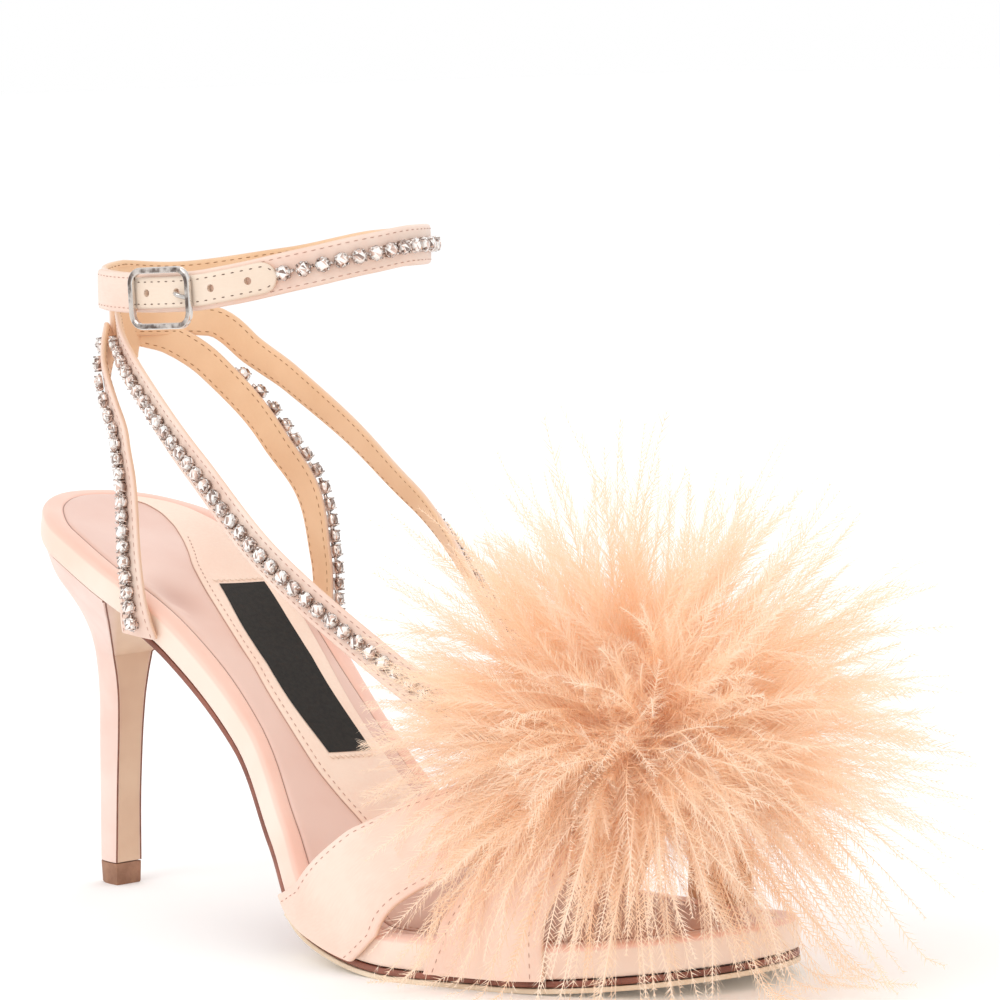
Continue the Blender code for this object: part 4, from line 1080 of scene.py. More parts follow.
heel_rings = [shank_ring(index / STEM_ROWS) for index in range(STEM_ROWS + 1)]
heel_rings += [cup_ring(index / CUP_STEPS) for index in range(1, CUP_STEPS + 1)]
heel_rings = [
    ring + [ring[-1].lerp(ring[0], step / BREAST_COLUMNS) for step in range(1, BREAST_COLUMNS)]
    for ring in heel_rings
]
heel_columns = len(heel_rings[0])


def heel_place(u, v):
    return heel_rings[round(v * (len(heel_rings) - 1))][round(u * heel_columns) % heel_columns]


# Mask of the breast, where the darker painted shade goes.
def heel_masks(u, v):
    return (1.0 if round(u * heel_columns) % heel_columns > 2 * HEEL_STATIONS else 0.0,)


finish_piece(
    lay_grid(heel_columns, len(heel_rings) - 1, heel_place, ("breast",), heel_masks, (0.06, 0.09)),
    "heel_cover", [heel_satin], ["heel"], 45.0, True,
)


# %% Dark cords of painted shade along the heel's folds
def shade_cord(name, lines, radius, material, sides=6):
    """Fine round cords along lines of spots, joined in one piece."""
    whole = None
    for line in lines:
        rows = len(line) - 1
        frames = []
        for index, spot in enumerate(line):
            along = (line[min(index + 1, rows)] - line[max(index - 1, 0)]).normalized()
            side = along.orthogonal().normalized()
            if frames:
                side = (frames[-1][1] - along * frames[-1][1].dot(along)).normalized()
            frames.append((spot, side, along.cross(side)))

        def place(u, v, frames=frames, rows=rows):
            spot, side, other = frames[round(v * rows)]
            turn = 2.0 * math.pi * u
            return spot + (side * math.cos(turn) + other * math.sin(turn)) * radius

        part = lay_grid(sides, rows, place, size=(radius * 6.0, 0.1))
        if whole is None:
            whole = part
        else:
            merge_into(whole, part)
    return finish_piece(whole, name, [material], (), 60.0, True)


# Dark cords at the breast corners and under the seat are painted shade of the folds.
breast_corners = []
for corner in (0, 2 * HEEL_STATIONS):
    line = [ring[corner].lerp(ring[-BREAST_COLUMNS // 2], 0.03) for ring in heel_rings]
    breast_corners.append(line)
top_line = [heel_rings[-1][0].lerp(heel_rings[-1][2 * HEEL_STATIONS], t / 12.0) for t in range(13)]
top_line = [point - Vector((0.0, 0.0, 0.2 * MM)) for point in top_line]
shade_cord("breast_fold_shade", breast_corners + [top_line], 0.22 * MM, fold_shade_brown)

# %% Top piece
TIP_DRAW = 0.95
tip_ring = heel_rings[0]
TIP_ROWS = ((0.0, 0.90), (0.00030, TIP_DRAW), (0.0050, 0.995), (HEEL_TIP_HEIGHT - GAP, 0.985))


def tip_place(u, v):
    height, draw = TIP_ROWS[round(v * 3)]
    point = tip_ring[round(u * heel_columns) % heel_columns]
    return Vector((point.x * draw, point.y * draw, height))


finish_piece(
    lay_grid(heel_columns, 3, tip_place, size=(0.03, 0.006)),
    "top_piece", [tip_rubber], ["heel_tip"], 40.0, True,
)

# %% [markdown]
# ## Straps
# A satin strap is two layers turned in at the edges and stitched along both sides. Its cut
# is a flat bar with rounded edges, and a grid carries that cut along a line of stations,
# each with a centre, a way along and a way out. The outside gets satin and the inside the
# beige lining, by a mask that goes with the cut.

# %% Sizes and tables of the straps
SLING_WIDTH = 0.0074
ANKLE_WIDTH = 0.0092
ANKLE_HEIGHT = 0.1480
ANKLE_LONG_HALF = 0.0418
ANKLE_SHORT_HALF = 0.0290
ANKLE_CENTRE_FORWARD = 0.0540
ANKLE_CENTRE_INWARD = 0.0065
ANKLE_TURN = 14.0
OUTER_HEEL_STRAP_SHARE = 0.268
INNER_HEEL_STRAP_SHARE = 0.328
INSTEP_STRAP_SHARE = 0.845
OUTER_INSTEP_AROUND = -0.14
INNER_INSTEP_AROUND = 0.0
FRONT_VAMP_LIFT = 0.85
STAY_WIDTH = 0.0105
STAY_THICKNESS = 0.0022
STAY_DROP = 0.0190
STAY_RISE = 0.30
HEEL_JOIN_DROP = 0.0150
INSTEP_JOIN_DROP = 0.0100
JOIN_SPREAD = 0.0022
REAR_VAMP = (
    (-1.00, 0.588, 0.697, 0.0), (-0.80, 0.610, 0.733, 0.0), (-0.64, 0.655, 0.790, 0.0),
    (-0.50, 0.715, 0.832, 0.0), (-0.25, 0.772, 0.872, 0.0), (0.00, 0.800, 0.892, 0.0),
    (0.30, 0.812, 0.902, 0.0), (0.60, 0.806, 0.898, 0.0), (0.80, 0.798, 0.886, 0.0),
    (1.00, 0.792, 0.878, 0.0),
)
FRONT_VAMP = (
    (-1.00, 0.775, 0.884, 0.0), (-0.80, 0.790, 0.886, 0.0), (-0.62, 0.818, 0.900, 0.3),
    (-0.45, 0.826, 0.912, 0.85), (-0.25, 0.822, 0.915, 0.85), (0.00, 0.800, 0.902, 0.85),
    (0.30, 0.752, 0.864, 0.85), (0.50, 0.705, 0.818, 0.5), (0.80, 0.640, 0.742, 0.0),
    (1.00, 0.615, 0.715, 0.0),
)
OUTER_HEEL_STRAP = (
    (0.00, 0.000, 0.000, 0.000, 79, 0), (0.09, 0.050, 0.052, 0.000, 80, 0),
    (0.29, 0.105, 0.100, 0.000, 88, 0), (0.54, 0.146, 0.121, -0.003, 102, 4),
    (0.67, 0.160, 0.139, -0.005, 112, 6), (0.78, 0.124, 0.135, -0.007, 124, 7),
    (0.89, 0.068, 0.116, 0.004, 142, 6), (0.97, 0.025, 0.067, 0.023, 160, 2),
    (1.00, 0.000, 0.035, 0.025, 168, 0),
)
INNER_HEEL_STRAP = (
    (0.00, 0.000, 0.000, 0.000, 82, 0), (0.09, 0.017, 0.033, 0.009, 83, 0),
    (0.29, 0.083, 0.103, 0.012, 88, 0), (0.54, 0.150, 0.155, 0.008, 102, 4),
    (0.67, 0.160, 0.143, 0.004, 112, 6), (0.78, 0.124, 0.157, 0.007, 124, 7),
    (0.89, 0.068, 0.146, 0.019, 142, 6), (0.97, 0.025, 0.087, 0.029, 160, 2),
    (1.00, 0.000, 0.035, 0.025, 168, 0),
)
OUTER_INSTEP_STRAP = (
    (0.00, 0.000, 0.000, 0.000, 74, 68), (0.12, 0.000, 0.055, -0.003, 76, 48),
    (0.26, 0.000, 0.090, -0.004, 80, 32), (0.49, 0.000, 0.119, -0.001, 85, 18),
    (0.67, 0.000, 0.105, 0.009, 92, 12), (0.83, 0.000, 0.075, 0.010, 106, 6),
    (0.93, 0.000, 0.041, 0.009, 132, 2), (1.00, 0.000, 0.000, 0.000, 158, 0),
)
INNER_INSTEP_STRAP = (
    (0.00, 0.000, 0.000, 0.000, 74, 68), (0.12, -0.038, 0.020, 0.037, 76, 48),
    (0.26, -0.080, 0.080, 0.056, 80, 32), (0.49, -0.069, 0.142, 0.045, 85, 18),
    (0.67, -0.029, 0.147, 0.027, 90, 12), (0.83, 0.003, 0.143, 0.007, 102, 6),
    (0.92, 0.018, 0.129, -0.002, 122, 2), (0.97, 0.023, 0.102, 0.009, 142, 0),
    (1.00, 0.000, 0.000, 0.000, 165, 0),
)
ANKLE_RISE = (
    (0.00, 0.00), (0.18, -0.15), (0.25, -0.08), (0.29, 0.08), (0.36, 0.46), (0.43, 0.78),
    (0.50, 0.94), (0.70, 0.66), (0.80, 0.20), (0.92, -0.12), (1.00, 0.00),
)


# %% Stations along the straps
def facing(turn, lean):
    """Direction from a turn (0 forward, 90 outer side, 180 back) and an upward lean."""
    turn, lean = math.radians(turn), math.radians(lean)
    flat = math.cos(lean)
    return Vector((flat * math.cos(turn), -flat * math.sin(turn), math.sin(lean)))


def ankle_point(turn):
    """Middle of the ankle strap at a turn: 0 at the back, a quarter at the outer side."""
    angle = math.pi + 2.0 * math.pi * turn
    lean = math.radians(ANKLE_TURN)
    long_way = ANKLE_LONG_HALF * math.cos(angle)
    short_way = ANKLE_SHORT_HALF * math.sin(angle)
    rise = table_value(ANKLE_RISE, 1, turn % 1.0) * ANKLE_WIDTH
    return Vector((
        ANKLE_CENTRE_FORWARD + long_way * math.cos(lean) - short_way * math.sin(lean),
        ANKLE_CENTRE_INWARD + long_way * math.sin(lean) + short_way * math.cos(lean),
        ANKLE_HEIGHT + rise,
    ))


def ankle_station(turn, offset=0.0):
    """Spot, way along and way out on the ankle strap, moved out from its middle layer."""
    step = 0.002
    here = ankle_point(turn)
    along = (ankle_point(turn + step) - ankle_point(turn - step)).normalized()
    out = along.cross(Vector((0.0, 0.0, 1.0))).normalized()
    return here + out * offset, along, out


def junction(side):
    """Where the sling straps of one side meet the stay at the back of the ankle."""
    here, _, out = ankle_station(0.0)
    return here, Vector((out.y, -out.x, 0.0)) * side


def strap_frame(rows, side, foot, ankle, place):
    """Centre and way out of a sling strap at a place between its foot and ankle ends."""
    span = (ankle - foot).length
    bow = Vector((
        table_value(rows, 1, place), side * table_value(rows, 2, place), table_value(rows, 3, place)
    ))
    out = facing(table_value(rows, 4, place), table_value(rows, 5, place))
    out.y *= -side
    return foot.lerp(ankle, place) + bow * span, out


def sling_station(strap, place, offset=0.0):
    """Spot, way along and way out of a sling strap, moved out from its middle layer."""
    step = 0.01
    before, _ = strap_frame(*strap, max(place - step, 0.0))
    after, _ = strap_frame(*strap, min(place + step, 1.0))
    here, out = strap_frame(*strap, place)
    along = (after - before).normalized()
    out = (out - along * out.dot(along)).normalized()
    return here + out * offset, along, out


def heel_strap(side):
    rows = OUTER_HEEL_STRAP if side < 0.0 else INNER_HEEL_STRAP
    share = OUTER_HEEL_STRAP_SHARE if side < 0.0 else INNER_HEEL_STRAP_SHARE
    foot = last_point(share, side, STRAP_CLEARANCE + STRAP_THICKNESS / 2.0)
    here, across = junction(side)
    return rows, side, foot, here - Vector((0.0, 0.0, HEEL_JOIN_DROP)) + across * JOIN_SPREAD


def instep_strap(side):
    rows = OUTER_INSTEP_STRAP if side < 0.0 else INNER_INSTEP_STRAP
    around = OUTER_INSTEP_AROUND if side < 0.0 else INNER_INSTEP_AROUND
    foot = last_point(
        INSTEP_STRAP_SHARE, around, STRAP_CLEARANCE + STRAP_THICKNESS * (1.0 + FRONT_VAMP_LIFT)
    )
    here, across = junction(side)
    return rows, side, foot, here - Vector((0.0, 0.0, INSTEP_JOIN_DROP)) + across * JOIN_SPREAD


# %% The cut of a strap
def strap_cut(thickness, flats=8, rounds=4):
    """Places round the cut: share across from -1 to 1, inset from the edge, depth, lining."""
    radius = thickness * 0.46
    cut = []
    for side in (1.0, -1.0):
        for index in range(flats + 1):
            t = -1.0 + 2.0 * index / flats
            cut.append((t * side, radius, side * thickness / 2.0, 0.0 if side > 0 else 1.0, 0.0))
        for index in range(1, rounds):
            turn = math.pi * index / rounds
            reach = radius * (1.0 - math.sin(turn))
            depth = thickness / 2.0 * math.cos(turn) * side
            lining = 0.0 if depth > -thickness * 0.1 else 1.0
            edge = 0.55 if abs(depth) < thickness * 0.3 else 0.0
            cut.append((side, reach, depth, lining, edge))
    return cut


def ribbon(stations, widths, thickness, crown=0.15 * MM, closed=False):
    """Grid of a strap along its stations, with crowned faces and rounded edges."""
    cut = strap_cut(thickness)
    rows = len(stations) - (0 if closed else 1)
    length = sum((b[0] - a[0]).length for a, b in zip(stations, stations[1:]))

    def place(u, v):
        index = round(v * rows) % len(stations)
        spot, along, out = stations[index]
        out = (out - along * out.dot(along)).normalized()
        side = out.cross(along)
        share, inset, depth, _, _ = cut[round(u * len(cut)) % len(cut)]
        half = widths[index] / 2.0 - inset
        lift = depth + math.copysign(crown * (1.0 - share * share), depth)
        return spot + side * share * half + out * lift

    def paint(u, v):
        return cut[round(u * len(cut)) % len(cut)][3:]

    size = (2.0 * widths[0], length)
    return lay_grid(len(cut), rows, place, ("lining", "edge"), paint, size)


def edge_line(stations, widths, inset, depth, side):
    """Line on one face of a strap, a distance inside one edge, with its ways out."""
    line = []
    for (spot, along, out), width in zip(stations, widths):
        out = (out - along * out.dot(along)).normalized()
        across = out.cross(along)
        place = spot + across * side * (width / 2.0 - inset) + out * depth
        line.append((place, out * (1.0 if depth > 0.0 else -1.0)))
    return line


# %% Sling straps
sling_lines = {}
sling_stitches, lining_stitches = [], []
for label, side in (("outer", -1.0), ("inner", 1.0)):
    kinds = (("instep", instep_strap(side), 150), ("heel", heel_strap(side), 100))
    for kind, strap, count in kinds:
        stations = [sling_station(strap, index / count) for index in range(count + 1)]
        flare = 3.0 * MM if kind == "heel" else 0.0
        widths = [
            SLING_WIDTH + flare * (1.0 - ease(index / count, 0.0, 0.14))
            for index in range(count + 1)
        ]
        name = label + "_" + kind + "_strap"
        sling_lines[label + "_" + kind] = strap
        finish_piece(
            ribbon(stations, widths, STRAP_THICKNESS), name, [strap_satin],
            ["upper_straps"], 50.0, True,
        )
        for edge in (-1.0, 1.0):
            outside = edge_line(stations, widths, STITCH_INSET, STITCH_DEPTH, edge)
            inside = edge_line(stations, widths, STITCH_INSET, -STITCH_DEPTH, edge)
            sling_stitches += stitch_places(outside, STITCH_PITCH)
            lining_stitches += stitch_places(inside, STITCH_PITCH)

# %% Ankle strap and stay
ankle_ring = [ankle_station(index / 220) for index in range(220)]
ankle_widths = [ANKLE_WIDTH] * 220
finish_piece(
    ribbon(ankle_ring, ankle_widths, STRAP_THICKNESS, closed=True), "ankle_strap",
    [strap_satin], ["upper_straps"], 50.0,
)
loop = ankle_ring + ankle_ring[:1]
for edge in (-1.0, 1.0):
    outside = edge_line(loop, [ANKLE_WIDTH] * 221, STITCH_INSET, STITCH_DEPTH, edge)
    inside = edge_line(loop, [ANKLE_WIDTH] * 221, STITCH_INSET, -STITCH_DEPTH, edge)
    sling_stitches += stitch_places(outside, STITCH_PITCH)
    lining_stitches += stitch_places(inside, STITCH_PITCH)

here, _, back_out = ankle_station(0.0)
up = Vector((0.0, 0.0, 1.0))
low, high = here - up * STAY_DROP, here + up * ANKLE_WIDTH * STAY_RISE
stay = [(low.lerp(high, t / 20.0), up, back_out) for t in range(21)]
stay_widths = [STAY_WIDTH - 2.5 * MM * (1.0 - ease(t / 20.0, 0.0, 0.25)) for t in range(21)]
finish_piece(
    ribbon(stay, stay_widths, STAY_THICKNESS), "ankle_stay", [strap_satin],
    ["upper_straps"], 50.0, True,
)


# %% Vamp straps
def vamp_crease(kind, around, share):
    """Soft ridges and troughs that run along the vamp straps towards the pompom."""
    pull = math.exp(-((around + 0.25) / 0.45) ** 2)
    if kind == "rear":
        ridge = math.exp(-((share - 0.35 - 0.25 * around) / 0.16) ** 2)
        trough = math.exp(-((share - 0.68 - 0.10 * around) / 0.12) ** 2)
    else:
        ridge = math.exp(-((share - 0.62 + 0.20 * around) / 0.15) ** 2)
        trough = math.exp(-((share - 0.30 + 0.12 * around) / 0.13) ** 2)
    side = ease(abs(around), 0.35, 0.6) * (1.0 - ease(abs(around), 0.78, 0.98))
    return (0.55 * ridge * (0.4 + pull) - 0.40 * trough * (0.3 + pull)) * MM * (0.3 + 0.9 * side)


def vamp_strap(name, kind, rows):
    """A wide strap cut from the foot's own form, from floor edge to floor edge."""
    cut = strap_cut(STRAP_THICKNESS, 14, 4)
    count = 150
    table = [
        [table_value(rows, column, -1.0 + 2.0 * index / count) for column in (1, 2, 3)]
        for index in range(count + 1)
    ]

    def spot(index, share, depth):
        around = -1.0 + 2.0 * index / count
        rear, front, lift = table[index]
        crease = vamp_crease(kind, around, share)
        above = STRAP_CLEARANCE + STRAP_THICKNESS * (lift + 0.5) + depth + max(crease, -0.2 * MM)
        return last_point(rear + (front - rear) * share, around, above)

    def place(u, v):
        index = round(v * count)
        rear, front, _ = table[index]
        across, inset, depth, _, _ = cut[round(u * len(cut)) % len(cut)]
        shrink = 1.0 - 2.0 * inset / ((front - rear) * FOOTBED_LENGTH)
        return spot(index, 0.5 + across * shrink / 2.0, depth)

    def paint(u, v):
        return cut[round(u * len(cut)) % len(cut)][3:]

    mesh = lay_grid(len(cut), count, place, ("lining", "edge"), paint, (0.056, 0.15))
    finish_piece(mesh, name, [vamp_satin], ["upper_straps"], 50.0, True)
    rows_of_stitches = []
    for edge in (0.0, 1.0):
        line = []
        for index in range(count + 1):
            rear, front, _ = table[index]
            inset = 2.3 * MM / ((front - rear) * FOOTBED_LENGTH)
            share = inset if edge == 0.0 else 1.0 - inset
            here = spot(index, share, STRAP_THICKNESS / 2.0 + 0.05 * MM)
            line.append((here, spot(index, share, STRAP_THICKNESS / 2.0 + MM) - here))
        rows_of_stitches += stitch_places(line, 2.3 * MM)
    return rows_of_stitches


vamp_stitches = vamp_strap("rear_vamp_strap", "rear", REAR_VAMP)
vamp_stitches += vamp_strap("front_vamp_strap", "front", FRONT_VAMP)
repeat_shape(
    stitch_shape(*SMALL_STITCH), "strap_stitches", sling_stitches + vamp_stitches,
    [thread_pink],
)
repeat_shape(
    stitch_shape(*SMALL_STITCH), "lining_stitches", lining_stitches, [thread_tan]
)

# %% [markdown]
# ## Crystal chains
# Cup chain is a row of small metal cups with prongs, each holding one cut stone, linked
# edge to edge. One cup with its stone is modelled, then copied at every pitch. Each facet
# gets its own tone, because a stone's facets mirror different parts of the room, some
# bright and some dark.

# %% Stone and cup
STONE_PITCH = 0.0042
# The two far chains lie to one side of their solids, where the photo has them, and the
# near heel chain and the ankle chain start or end a little beyond theirs.
HEEL_ASIDE = 3.5 * MM
INSTEP_ASIDE = -2.2 * MM
CHAIN_BASE = STRAP_THICKNESS / 2.0 + GAP + 0.0001
HEEL_CHAIN = (0.03, 1.00)
INSTEP_CHAIN = (0.05, 0.95)
ANKLE_CHAIN = (0.335, 0.93)

stone_paint = Paint("cut_crystal")
stone_tone = stone_paint.mask("tone")
stone_shade = stone_paint.mixed(
    stone_paint.band(stone_tone, 0.08, 0.36), tint(120, 92, 80), tint(222, 188, 172)
)
stone_shade = stone_paint.mixed(
    stone_paint.band(stone_tone, 0.38, 0.66), stone_shade, tint(255, 252, 248)
)
cut_crystal = stone_paint.finish(
    stone_shade, 0.05 + stone_tone * 0.1, Coat_Weight=1.0, Coat_Roughness=0.03, IOR=1.7
)

# The cups are painted facet by facet from dark to bright: painted reflection of the room on the
# metal.
cup_paint = Paint("cup_silver")
cup_painted_reflection = cup_paint.mask("tone")
cup_shade = cup_paint.mixed(
    cup_paint.band(cup_painted_reflection, 0.2, 0.8), tint(150, 128, 118), tint(244, 234, 228)
)
cup_silver = cup_paint.finish(cup_shade, 0.18 + cup_painted_reflection * 0.14, Metallic=1.0)


def shape_part(shape, kind, matrix, **size):
    """Adds one solid to a shape at a place and gives its faces a material number."""
    before = set(shape.faces)
    if "segments" in size:
        bmesh.ops.create_cone(shape, cap_ends=True, matrix=matrix, **size)
    else:
        bmesh.ops.create_cube(shape, size=1.0, matrix=matrix)
    for face in set(shape.faces) - before:
        face.material_index = kind


def stone_shape():
    """A cut stone in its four-prong cup, standing on Z, with the link to the next."""
    shape = bmesh.new()
    lifted = Matrix.Translation((0.0, 0.0, 0.55 * MM))
    shape_part(shape, 1, lifted, segments=8, radius1=1.6 * MM, radius2=1.85 * MM, depth=1.1 * MM)
    lifted = Matrix.Translation((0.0, 0.0, 1.25 * MM))
    shape_part(shape, 0, lifted, segments=8, radius1=1.78 * MM, radius2=1.68 * MM, depth=0.3 * MM)
    lifted = Matrix.Translation((0.0, 0.0, 1.70 * MM)) @ Matrix.Rotation(math.pi / 8.0, 4, "Z")
    shape_part(shape, 0, lifted, segments=8, radius1=1.70 * MM, radius2=0.92 * MM, depth=0.66 * MM)
    for quarter in range(4):
        turn = Matrix.Rotation(math.pi / 4.0 + quarter * math.pi / 2.0, 4, "Z")
        prong = turn @ Matrix.Translation((1.70 * MM, 0.0, 0.95 * MM)) @ Matrix.Diagonal(
            (0.34 * MM, 0.42 * MM, 1.7 * MM, 1.0)
        )
        shape_part(shape, 1, prong)
    link = Matrix.Translation((1.9 * MM, 0.0, 0.45 * MM)) @ Matrix.Diagonal(
        (1.2 * MM, 0.8 * MM, 0.5 * MM, 1.0)
    )
    shape_part(shape, 1, link)
    return shape


# %% Chains along the straps
def chain_places(station, start, stop, aside=0.0):
    """Matrices of the stones between two places of a strap, moved aside from its middle."""
    points = [station(start + (stop - start) * index / 40)[0] for index in range(41)]
    length = sum((b - a).length for a, b in zip(points, points[1:]))
    count = max(2, round(length / STONE_PITCH))
    places = []
    for index in range(count):
        place = start + (stop - start) * (2 * index + 1) / (2 * count)
        spot, along, out = station(place)
        wobble = Matrix.Rotation(0.12 * math.sin(index * 2.3), 4, "Z")
        side = out.cross(along)
        places.append(standing(spot + out * CHAIN_BASE + side * aside, along, out) @ wobble)
    return places


for number, (label, ends, aside) in enumerate((
    ("outer_instep", INSTEP_CHAIN, 0.0), ("outer_heel", HEEL_CHAIN, 0.0),
    ("inner_instep", INSTEP_CHAIN, INSTEP_ASIDE), ("inner_heel", (0.03, 0.86), HEEL_ASIDE),
)):
    strap = sling_lines[label]
    places = chain_places(lambda place, strap=strap: sling_station(strap, place), *ends, aside)
    repeat_shape(
        stone_shape(), label + "_stones", places, [cut_crystal, cup_silver],
        [label + "_chain"], False, 20 + number,
    )
repeat_shape(
    stone_shape(), "ankle_stones", chain_places(ankle_station, *ANKLE_CHAIN),
    [cut_crystal, cup_silver], ["ankle_chain"], False, 30,
)

# %% [markdown]
# ## Buckle and punched tab
# The strap's free end is punched and runs through a small frame of polished wire with a
# prong. The tab is a strap like the others, with its holes cut by Boolean tools that are
# applied at once. The frame is a square bar with broken edges, swept round a rectangle
# with round corners.

# %% Tab
TAB_THICKNESS = 0.0012
TAB_WIDTH = 0.0073  # 0.9 mm narrower than the solid, as the photo shows it
TAB_LENGTH = 0.0555
HOLE_PITCH = 0.0092
HOLE_RADIUS = 0.0009
BUCKLE_LENGTH = 0.0195
BUCKLE_HEIGHT = 0.0144
BUCKLE_WIRE = 0.0015
BUCKLE_CORNER = 0.0032
BUCKLE_TURN = 0.224
BUCKLE_SAG = 0.0012
TAB_BEHIND = 0.0260
BUCKLE_FOLD = 0.0160
TAB_TIP = 0.25
PRONG_HOLE = 0.50
PRONG_RADIUS = 0.0006
tab_offset = STRAP_THICKNESS / 2.0 + GAP + TAB_THICKNESS / 2.0


def turn_beyond(turn, length):
    """Turn of the ankle strap that lies a length further round than another."""
    for _ in range(40):
        speed = (ankle_point(turn + 0.001) - ankle_point(turn - 0.001)).length / 0.002
        turn += length / 40.0 / speed
    return turn


tab_start = turn_beyond(BUCKLE_TURN, -TAB_BEHIND)
tab_stations, tab_widths = [], []
for index in range(71):
    share = math.sin(math.pi / 2.0 * index / 70.0)
    left = (1.0 - share) * TAB_LENGTH
    radius = TAB_WIDTH / 2.0
    short = max(radius - left, 0.0)
    tab_stations.append(ankle_station(turn_beyond(tab_start, TAB_LENGTH * share), tab_offset))
    tab_widths.append(2.0 * math.sqrt(max(radius ** 2 - short ** 2, (radius * TAB_TIP) ** 2)))
tab = finish_piece(
    ribbon(tab_stations, tab_widths, TAB_THICKNESS, 0.05 * MM), "punched_tab", [tab_satin],
    ["ankle_tab"], 50.0, True,
)
hole_spots = []
for number in range(4):
    turn = turn_beyond(BUCKLE_TURN, (number - 1 + PRONG_HOLE) * HOLE_PITCH)
    hole_spots.append(ankle_station(turn, tab_offset))
cutter_mesh = bmesh.new()
for spot, along, out in hole_spots:
    bmesh.ops.create_cone(
        cutter_mesh, cap_ends=True, segments=20, radius1=HOLE_RADIUS, radius2=HOLE_RADIUS,
        depth=4.0 * TAB_THICKNESS, matrix=standing(spot, along, out),
    )
cutter_data = bpy.data.meshes.new("hole_punches")
cutter_mesh.to_mesh(cutter_data)
cutter_mesh.free()
cutter = bpy.data.objects.new("hole_punches", cutter_data)
bpy.context.scene.collection.objects.link(cutter)
punch = tab.modifiers.new("punch", "BOOLEAN")
punch.operation = "DIFFERENCE"
punch.solver = "EXACT"
punch.object = cutter
bpy.context.view_layer.update()
punched = bpy.data.meshes.new_from_object(tab.evaluated_get(bpy.context.evaluated_depsgraph_get()))
tab.modifiers.clear()
tab.data = punched
bpy.data.objects.remove(cutter)
print("tab with", len(hole_spots), "holes,", len(tab.data.polygons), "faces")

fold_stations = [
    ankle_station(
        turn_beyond(tab_start, (BUCKLE_FOLD + 1.0 * MM) * index / 24.0 - 1.0 * MM), tab_offset
    )
    for index in range(25)
]
finish_piece(
    ribbon(fold_stations, [ANKLE_WIDTH + 0.2 * MM] * 25, TAB_THICKNESS + 0.5 * MM, 0.05 * MM),
    "buckle_fold", [strap_satin], ["ankle_tab"], 50.0, True,
)
fold_stitches = []
for edge in (-1.0, 1.0):
    fold_stitches += stitch_places(
        edge_line(
            fold_stations, [ANKLE_WIDTH] * 25, 1.1 * MM, TAB_THICKNESS / 2.0 + 0.3 * MM, edge
        ),
        2.0 * MM,
    )
repeat_shape(
    stitch_shape(*SMALL_STITCH), "fold_stitches", fold_stitches, [thread_pink]
)

tab_stitches = []
for edge in (-1.0, 1.0):
    line = edge_line(tab_stations, tab_widths, 1.1 * MM, TAB_THICKNESS / 2.0 + 0.05 * MM, edge)
    tab_stitches += stitch_places(line[:-8], 2.3 * MM)
repeat_shape(
    stitch_shape(0.95 * MM, 0.30 * MM, 0.14 * MM), "tab_stitches", tab_stitches,
    [thread_brown],
)

# %% Buckle frame
steel_paint = Paint("polished_steel_bright")
steel_slow = steel_paint.noise(steel_paint.place(), 420.0, 2.0)
# The dark mask paints dark reflections onto some faces of the bar and the prong: painted
# reflection.
steel_shade = steel_paint.mixed(steel_paint.mask("dark"), tint(236, 232, 228), tint(96, 82, 76))
steel_shade = steel_paint.mixed(
    steel_paint.band(steel_slow, 0.35, 0.65), steel_shade, tint(214, 206, 200)
)
polished_steel = steel_paint.finish(steel_shade, 0.10 + steel_slow * 0.08, Metallic=1.0)

frame_spot, frame_along, frame_out = ankle_station(BUCKLE_TURN)
frame_up = frame_out.cross(frame_along)
if frame_up.z < 0.0:
    frame_up = -frame_up
frame_layer = STRAP_THICKNESS / 2.0 + GAP + TAB_THICKNESS + GAP + BUCKLE_WIRE / 2.0
heights = []
for reach in (0.5, -0.5):
    turn = turn_beyond(BUCKLE_TURN, reach * (BUCKLE_LENGTH - 2.0 * BUCKLE_WIRE))
    heights.append((ankle_station(turn, frame_layer)[0] - frame_spot).dot(frame_out))
frame_centre = frame_spot + frame_out * max(heights) - frame_up * BUCKLE_SAG

half_long = (BUCKLE_LENGTH - BUCKLE_WIRE) / 2.0
half_high = (BUCKLE_HEIGHT - BUCKLE_WIRE) / 2.0
bar_line = []
for quarter, (x_side, y_side) in enumerate(((1, 1), (-1, 1), (-1, -1), (1, -1))):
    for step in range(13):
        angle = math.pi / 2.0 * (quarter + step / 12.0)
        ray = (math.cos(angle), math.sin(angle))
        x = x_side * (half_long - BUCKLE_CORNER) + BUCKLE_CORNER * ray[0]
        y = y_side * (half_high - BUCKLE_CORNER) + BUCKLE_CORNER * ray[1]
        bar_line.append((x, y, ray))
# Columns: reach out from the bar's middle line, rise, and share of painted dark reflection on that
# face.
BAR_CUT = (
    (-0.62, -0.80, 0.6), (-0.80, -0.45, 0.3), (-0.80, 0.50, 0.0), (-0.50, 0.80, 0.9),
    (0.40, 0.80, 1.0), (0.70, 0.62, 0.1), (0.80, 0.30, 0.0), (0.80, -0.45, 0.5), (0.62, -0.80, 0.8),
)


def bar_place(u, v):
    x, y, ray = bar_line[round(v * len(bar_line)) % len(bar_line)]
    away, rise, _ = BAR_CUT[round(u * len(BAR_CUT)) % len(BAR_CUT)]
    reach = away * BUCKLE_WIRE / 2.0 * 1.2
    spot = frame_centre + frame_along * (x + ray[0] * reach) + frame_up * (y + ray[1] * reach)
    return spot + frame_out * rise * BUCKLE_WIRE / 2.0 * 1.1


def bar_painted_reflection(u, v):
    return (BAR_CUT[round(u * len(BAR_CUT)) % len(BAR_CUT)][2],)


finish_piece(
    lay_grid(len(BAR_CUT), len(bar_line), bar_place, ("dark",), bar_painted_reflection, (0.005, 0.06)),
    "buckle_bar", [polished_steel], ["buckle_frame"], 28.0,
)

